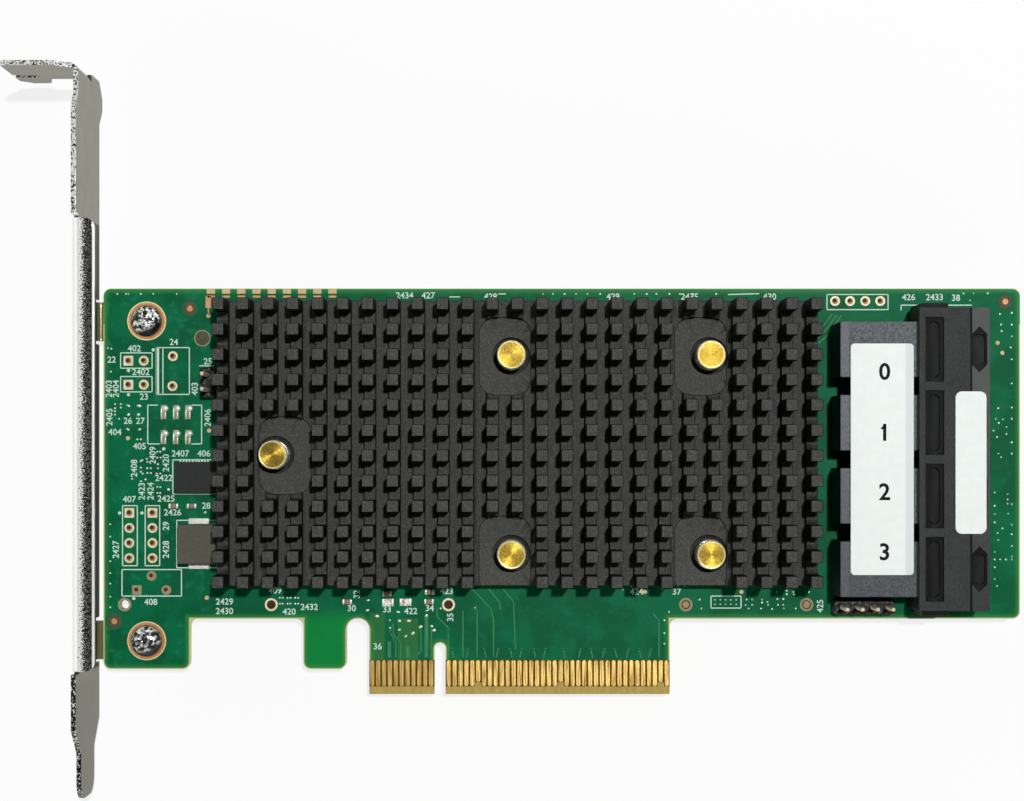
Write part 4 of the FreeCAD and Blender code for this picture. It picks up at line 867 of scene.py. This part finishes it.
# Brass pins and their springs: each pin is turned from bar, pushed through a coil spring, the heat sink and
# the board, and held below by its split barb. The springs are bright steel wire.
pins_low, pins_high = (corner.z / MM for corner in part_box("push_pins"))
HEAD_RADIUS = 2.35
HEAD_LOW = 8.535
SHANK_RADIUS = 1.25
BARB_RADIUS = 1.85
BARB_TIP = 0.875
pin_outline = ((0, pins_high), (HEAD_RADIUS - 0.2, pins_high), (HEAD_RADIUS, pins_high - 0.2),
               (HEAD_RADIUS, HEAD_LOW + 0.07), (HEAD_RADIUS - 0.07, HEAD_LOW), (SHANK_RADIUS, HEAD_LOW),
               (SHANK_RADIUS, UNDER), (BARB_RADIUS, UNDER), (BARB_TIP, pins_low + 0.1),
               (BARB_TIP - 0.1, pins_low), (0, pins_low))
brass_pins = bmesh.new()
for spot in pin_spots:
    turned(brass_pins, spot, pin_outline, 48, closed=False)
RINGS_PER_MM = 7.0
GROOVE_SLOPE = 0.2
SPECK_SLOPE = 0.08
HEAD_EDGE = 2.02
PIN_REACH = 4.0
brass = finish("turned_brass")
x, y, _ = brass.split(brass.place())
east = 0.0
north = 0.0
for across, along in pin_spots:
    near = brass.span(x - across, y - along) < PIN_REACH
    east = near * (x - across) + east
    north = near * (y - along) + north
from_axis = brass.span(east, north)
lathe = brass.node("Math", {"operation": "SINE"}, {0: from_axis * (2 * pi * RINGS_PER_MM)})
outward = brass.node("VectorMath", {"operation": "NORMALIZE"},
                     {0: brass.node("CombineXYZ", sockets={0: east, 1: north})})
lean = brass.node("VectorMath", {"operation": "SCALE"}, {0: outward, "Scale": lathe * GROOVE_SLOPE})
grooved = brass.node("VectorMath", {"operation": "ADD"},
                     {0: brass.node("NewGeometry", out="Normal"), 1: lean})
specks = brass.node("TexNoise", sockets={"Vector": brass.place(), "Scale": 5.0, "Detail": 2.0}, out="Color")
specks = brass.node("VectorMath", {"operation": "SUBTRACT"}, {0: specks, 1: (0.5, 0.5, 0.5)})
specks = brass.node("VectorMath", {"operation": "SCALE"}, {0: specks, "Scale": SPECK_SLOPE})
grooved = brass.node("VectorMath", {"operation": "ADD"}, {0: grooved, 1: specks})
stain = brass.ramp(brass.noise(3.5, 3.0), 0.38, 0.66)
head_gold = brass.mix(stain, paint(182, 154, 62), paint(138, 113, 43))
# The left pin's head is painted darker and duller: painted shade.
head_gold = brass.mix((x < pin_spots[4][0] + PIN_REACH) * 0.45, head_gold, paint(84, 68, 28))
# The pale ring at the edge of each head is a painted highlight.
rim_highlight = brass.ramp(from_axis, HEAD_EDGE, HEAD_EDGE + 0.15)
brass.surface({
    "Base Color": brass.mix(rim_highlight, head_gold, paint(255, 246, 190)),
    "Metallic": 0.35,
    "Roughness": brass.noise(2.0) * 0.06 + 0.24,
    "Specular IOR Level": 0.0,
    "Normal": brass.node("VectorMath", {"operation": "NORMALIZE"}, {0: grooved}),
})
turned_pins = piece(brass_pins, "turned_pins", brass, smooth=40)
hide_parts("push_pins")

WIRE_RADIUS = 0.225
COIL_RADIUS = 2.275
COIL_TURNS = 3
STEPS_PER_TURN = 24
spring_low, spring_high = (corner.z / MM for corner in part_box("push_pin_springs"))
climb = (spring_high - spring_low - 2 * WIRE_RADIUS) / (COIL_TURNS * STEPS_PER_TURN)
springs = bmesh.new()
for spot in pin_spots:
    start = (Matrix.Translation((spot[0] + COIL_RADIUS, spot[1], spring_low + WIRE_RADIUS))
             @ Matrix.Rotation(radians(90), 4, "X"))
    section = bmesh.ops.create_circle(springs, cap_ends=True, segments=8, radius=WIRE_RADIUS,
                                      matrix=start)["verts"]
    cap = section[0].link_faces[0]
    bmesh.ops.spin(springs, geom=[cap, *cap.edges, *section], cent=(*spot, 0), axis=(0, 0, 1),
                   dvec=(0, 0, climb), angle=2 * pi * COIL_TURNS, steps=COIL_TURNS * STEPS_PER_TURN)
wire = mottled("spring_wire", (2.0,), (200, 198, 192), (240, 238, 232), (4.0, 0.15, 0.2), metallic=0.8)
coils = piece(springs, "pin_springs", wire, smooth=60)
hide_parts("push_pin_springs")


# Stickers: white coated paper on the ports. The wide one numbers the ports in plain figures, and its edge
# beside the shroud lies in a shallow step; the narrow one is blank.
STEP_START = 77.0
STEP_END = 80.0
paper = finish("label_paper")
x = paper.split(paper.place())[0]
in_step = paper.ramp(x, STEP_START, STEP_START + 0.3) & (x < STEP_END)
fibre = paper.noise(0.8, 4.0)
# The paper in the step is painted greyer: painted shade.
paper.surface({
    "Base Color": paper.mix(in_step * 0.6, paper.mix(fibre, paint(222, 229, 226), paint(234, 240, 236)),
                            paint(196, 203, 206)),
    "Roughness": paper.noise(1.0) * 0.15 + 0.38,
    "Normal": paper.bump(paper.noise(1.2, 3.0), 0.006),
    "Specular IOR Level": 0.3,
})
softened("port_label", 0.03, paper)
softened("plain_label", 0.03, paper)
label_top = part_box("port_label")[1].z / MM
PORT_FIGURE = 2.7
PORT_FIGURE_X = 73.69
PRINT_HEIGHT = 0.01
port_figure_rows = (54.25, 44.2, 34.4, 24.5)
port_figures = bmesh.new()
for number, along in enumerate(port_figure_rows):
    figures(port_figures, str(number), (PORT_FIGURE_X, along), PORT_FIGURE, 0, label_top, PRINT_HEIGHT,
            weight=0.03)
# The font's 1 is a bare stroke, so it is given a flag.
flag_low = (PORT_FIGURE_X - 0.55, port_figure_rows[1] + 0.72)
flag_high = (PORT_FIGURE_X, port_figure_rows[1] + 1.2)
bar(port_figures, flag_low, flag_high, 0.34, label_top, PRINT_HEIGHT)
print_black = mottled("print_black", (2.0,), (14, 15, 16), (30, 31, 32), (2.0, 0.1, 0.5), specular=0.05)
piece(port_figures, "port_figures", print_black)


# Bracket: one sheet of nickel-plated steel, pierced and folded on a press. The plating is bright but
# grainy; the light that its folds and sheared edges catch is painted into its colour, and so is its shade.
LIP_FOLD = -57.75
LIP_EDGE = -55.95
LIP_LEVEL = 13.9
LIP_LOW = 5.0
LIP_HIGH = 80.0
plating = finish("plated_steel")
x, y, z = plating.split(plating.place())
grain = plating.noise(3.2, 3.0)
ragged = plating.noise(4.2, 2.0) * 3.6 - 1.8
on_lip = (z > LIP_LEVEL) & (y > LIP_LOW) & (y < LIP_HIGH)
# White bands along the lip's fold and its free edge, with a ragged border, are painted highlights: painted
# reflections of the lamp and the bright surroundings.
lip_highlight = on_lip & ((x + ragged < LIP_FOLD + 0.2) | (x > LIP_EDGE))
nickel = plating.mix(plating.noise(0.3, 3.0), paint(160, 160, 149), paint(182, 182, 171))
# Towards the foot the plating is painted darker: painted shade.
nickel = plating.mix((1 - plating.ramp(y, 2.0, 8.0)) * 0.6, nickel, paint(112, 112, 106))
tab_bend = (z < 1.0) & (x > -58.4)
nickel = plating.mix(tab_bend, nickel, paint(122, 116, 82))
# The lip's flat is painted near black with lighter specks: a painted reflection of the dark space overhead.
reflection_speckle = plating.ramp(plating.noise(5.0, 2.0), 0.4, 0.68)
lip_flat = on_lip & (x > LIP_FOLD - 0.5)
nickel = plating.mix(lip_flat, nickel, plating.mix(reflection_speckle, paint(10, 10, 10), paint(118, 119, 112)))
facing, _, upward = plating.split(plating.node("NewGeometry", out="True Normal"))
shaded = (facing > 0.5) & (z < 1.9) & (y > LIP_LOW - 0.5) & (y < LIP_HIGH)
nickel = plating.mix(shaded & (1 - tab_bend), nickel, paint(98, 100, 88))
# Up-facing faces off the lip, the sheared edges among them, are painted in black and white flecks: painted
# glints.
sheared = (upward > 0.6) & (z > 4.0) & (1 - on_lip)
edge_glints = plating.ramp(plating.noise(3.6, 2.0) + (y > LIP_LOW) * 0.12, 0.53, 0.64)
nickel = plating.mix(sheared, nickel, plating.mix(edge_glints, paint(30, 30, 28), paint(236, 236, 232)))
plating.surface({
    "Base Color": plating.mix(lip_highlight, nickel, paint(246, 246, 244)),
    "Metallic": 1.0 - (lip_highlight | tab_bend | lip_flat | shaded | sheared) * 0.75,
    "Roughness": plating.noise(1.0, 3.0) * 0.12 + 0.1 + shaded * 0.8,
    "Normal": plating.bump(grain, 0.02),
    "Specular Tint": (0.5, 0.5, 0.47, 1.0),
})
softened("mounting_bracket", 0.1, plating, 2)


# Bracket screws: two pan-head machine screws with a cross recess, in bright plated steel, driven down
# through the board into the bracket's tabs.
SCREW_HEAD = 2.5
SCREW_SHANK = 1.4
SCREW_FLAT = 1.5
ARM_LENGTH = 1.35
ARM_HALF = 0.375
RECESS_DEPTH = 1.1
RECESS_TAPER = 0.7
screws_low, screws_high = (corner.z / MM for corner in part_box("bracket_screws"))
screw_outline = ((SCREW_FLAT, screws_high), (2.05, screws_high - 0.45), (2.4, screws_high - 0.85),
                 (SCREW_HEAD, screws_high - 1.05), (SCREW_HEAD, TOP), (SCREW_SHANK, TOP),
                 (SCREW_SHANK, screws_low), (0, screws_low))
quarter = ((ARM_LENGTH, -ARM_HALF), (ARM_LENGTH, ARM_HALF), (ARM_HALF, ARM_HALF))
cross = [Matrix.Rotation(radians(90 * turn), 2) @ Vector(corner) for turn in range(4) for corner in quarter]
screws = bmesh.new()
for spot in screw_spots:
    turned(screws, spot, screw_outline, 48, closed=False)
    bmesh.ops.remove_doubles(screws, verts=screws.verts, dist=1e-5)
    rim = [edge for edge in screws.edges if edge.is_boundary]
    corners = [screws.verts.new((spot[0] + corner.x, spot[1] + corner.y, screws_high)) for corner in cross]
    arms = [screws.edges.new((corners[i - 1], corners[i])) for i in range(len(corners))]
    bmesh.ops.triangle_fill(screws, use_beauty=True, edges=rim + arms, normal=(0, 0, 1))
    sunk = bmesh.ops.extrude_edge_only(screws, edges=arms)["geom"]
    low_corners = [item for item in sunk if isinstance(item, bmesh.types.BMVert)]
    bmesh.ops.translate(screws, vec=(0, 0, -RECESS_DEPTH), verts=low_corners)
    bmesh.ops.scale(screws, vec=(RECESS_TAPER, RECESS_TAPER, 1), verts=low_corners,
                    space=Matrix.Translation((-spot[0], -spot[1], 0)))
    low_arms = [edge for edge in screws.edges if edge.is_boundary]
    bmesh.ops.triangle_fill(screws, use_beauty=True, edges=low_arms, normal=(0, 0, 1))
chrome = finish("screw_steel")
east, north, upward = chrome.split(chrome.node("NewGeometry", out="Normal"))
# The head's colour is painted glints, black and white flecks, and faces turned towards the lower right are
# painted dark: painted shade.
glints = chrome.ramp(chrome.noise(1.5, 2.0), 0.44, 0.6)
mirror_steel = chrome.mix(glints, paint(50, 55, 52), paint(250, 251, 248))
turned_away = chrome.ramp(east * 0.45 - north * 0.9, 0.2, 0.6)
chrome.surface({
    "Base Color": chrome.mix(turned_away, mirror_steel, paint(26, 28, 30)),
    "Metallic": 0.35,
    "Roughness": chrome.noise(2.0) * 0.12 + 0.14,
    "Normal": chrome.bump(chrome.noise(2.0, 2.0), 0.15),
})
cross_screws = piece(screws, "cross_screws", chrome, smooth=40)
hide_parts("bracket_screws")


# Studio: a pale floor under the card, a small soft lamp almost overhead and towards the upper right, and a
# bright ring of sky around a dark zenith, as in a light tent that is open at the top.
FLOOR_RADIUS = 8.0
FLOOR_GLOW = 0.8
floor_shape = bmesh.new()
bmesh.ops.create_circle(floor_shape, cap_ends=True, segments=64, radius=FLOOR_RADIUS,
                        matrix=Matrix.Translation((0, 0, cad_box[0].z)))
floor_mesh = bpy.data.meshes.new("floor")
floor_shape.to_mesh(floor_mesh)
floor_shape.free()
floor = bpy.data.objects.new("floor", floor_mesh)
bpy.context.scene.collection.objects.link(floor)
pale_floor = finish("pale_floor")
seen = (pale_floor.node("LightPath", out="Is Camera Ray")
        | pale_floor.node("LightPath", out="Is Glossy Ray")
        | pale_floor.node("LightPath", out="Is Transmission Ray"))
pale_floor.surface({"Base Color": paint(246, 246, 246), "Roughness": 1.0, "Specular IOR Level": 0.0})
glow = pale_floor.node("Emission", sockets={"Color": (1, 1, 1, 1), "Strength": 1.0})
matt = Wire(pale_floor, pale_floor.tree.nodes["Principled BSDF"].outputs[0])
blend = pale_floor.node("MixShader", sockets={0: seen * FLOOR_GLOW, 1: matt, 2: glow})
pale_floor.feed(pale_floor.tree.nodes["Material Output"], {"Surface": blend})
coat(floor, pale_floor)

RING_LIGHT = 1.3
ZENITH_LIGHT = 0.04
sky = Finish(bpy.data.worlds.new("studio"))
bpy.context.scene.world = sky.owner
height = sky.split(sky.node("TexCoord", out="Generated"))[2]
zenith = sky.ramp(height, 0.4, 0.56)
studio_light = sky.mix(zenith, (RING_LIGHT,) * 3 + (1,), (ZENITH_LIGHT,) * 3 + (1,))
sky.feed(sky.tree.nodes["Background"], {"Color": studio_light, "Strength": 1.0})

card_middle = Vector((0.012, 0.04, 0.0))
lamp_data = bpy.data.lights.new("key_lamp", "AREA")
lamp_data.shape = "DISK"
lamp_data.size = 0.045
lamp_data.energy = 8.2
lamp = bpy.data.objects.new("key_lamp", lamp_data)
lamp.location = (0.146, 0.214, 1.07)
lamp.rotation_euler = (card_middle - lamp.location).to_track_quat("-Z", "Y").to_euler()
bpy.context.scene.collection.objects.link(lamp)

PICTURE_WIDTH = 1024
camera_data = bpy.data.cameras.new("camera")
camera_data.lens = 69.35
camera_data.sensor_width = 36.0
camera_data.shift_x = 2 / PICTURE_WIDTH
camera_data.shift_y = 59.5 / PICTURE_WIDTH
camera_data.clip_start = 0.01
camera = bpy.data.objects.new("camera", camera_data)
camera.location = (0.01189, 0.0398, 0.335785)
bpy.context.scene.collection.objects.link(camera)
bpy.context.scene.camera = camera
bpy.context.scene.view_settings.view_transform = "Standard"
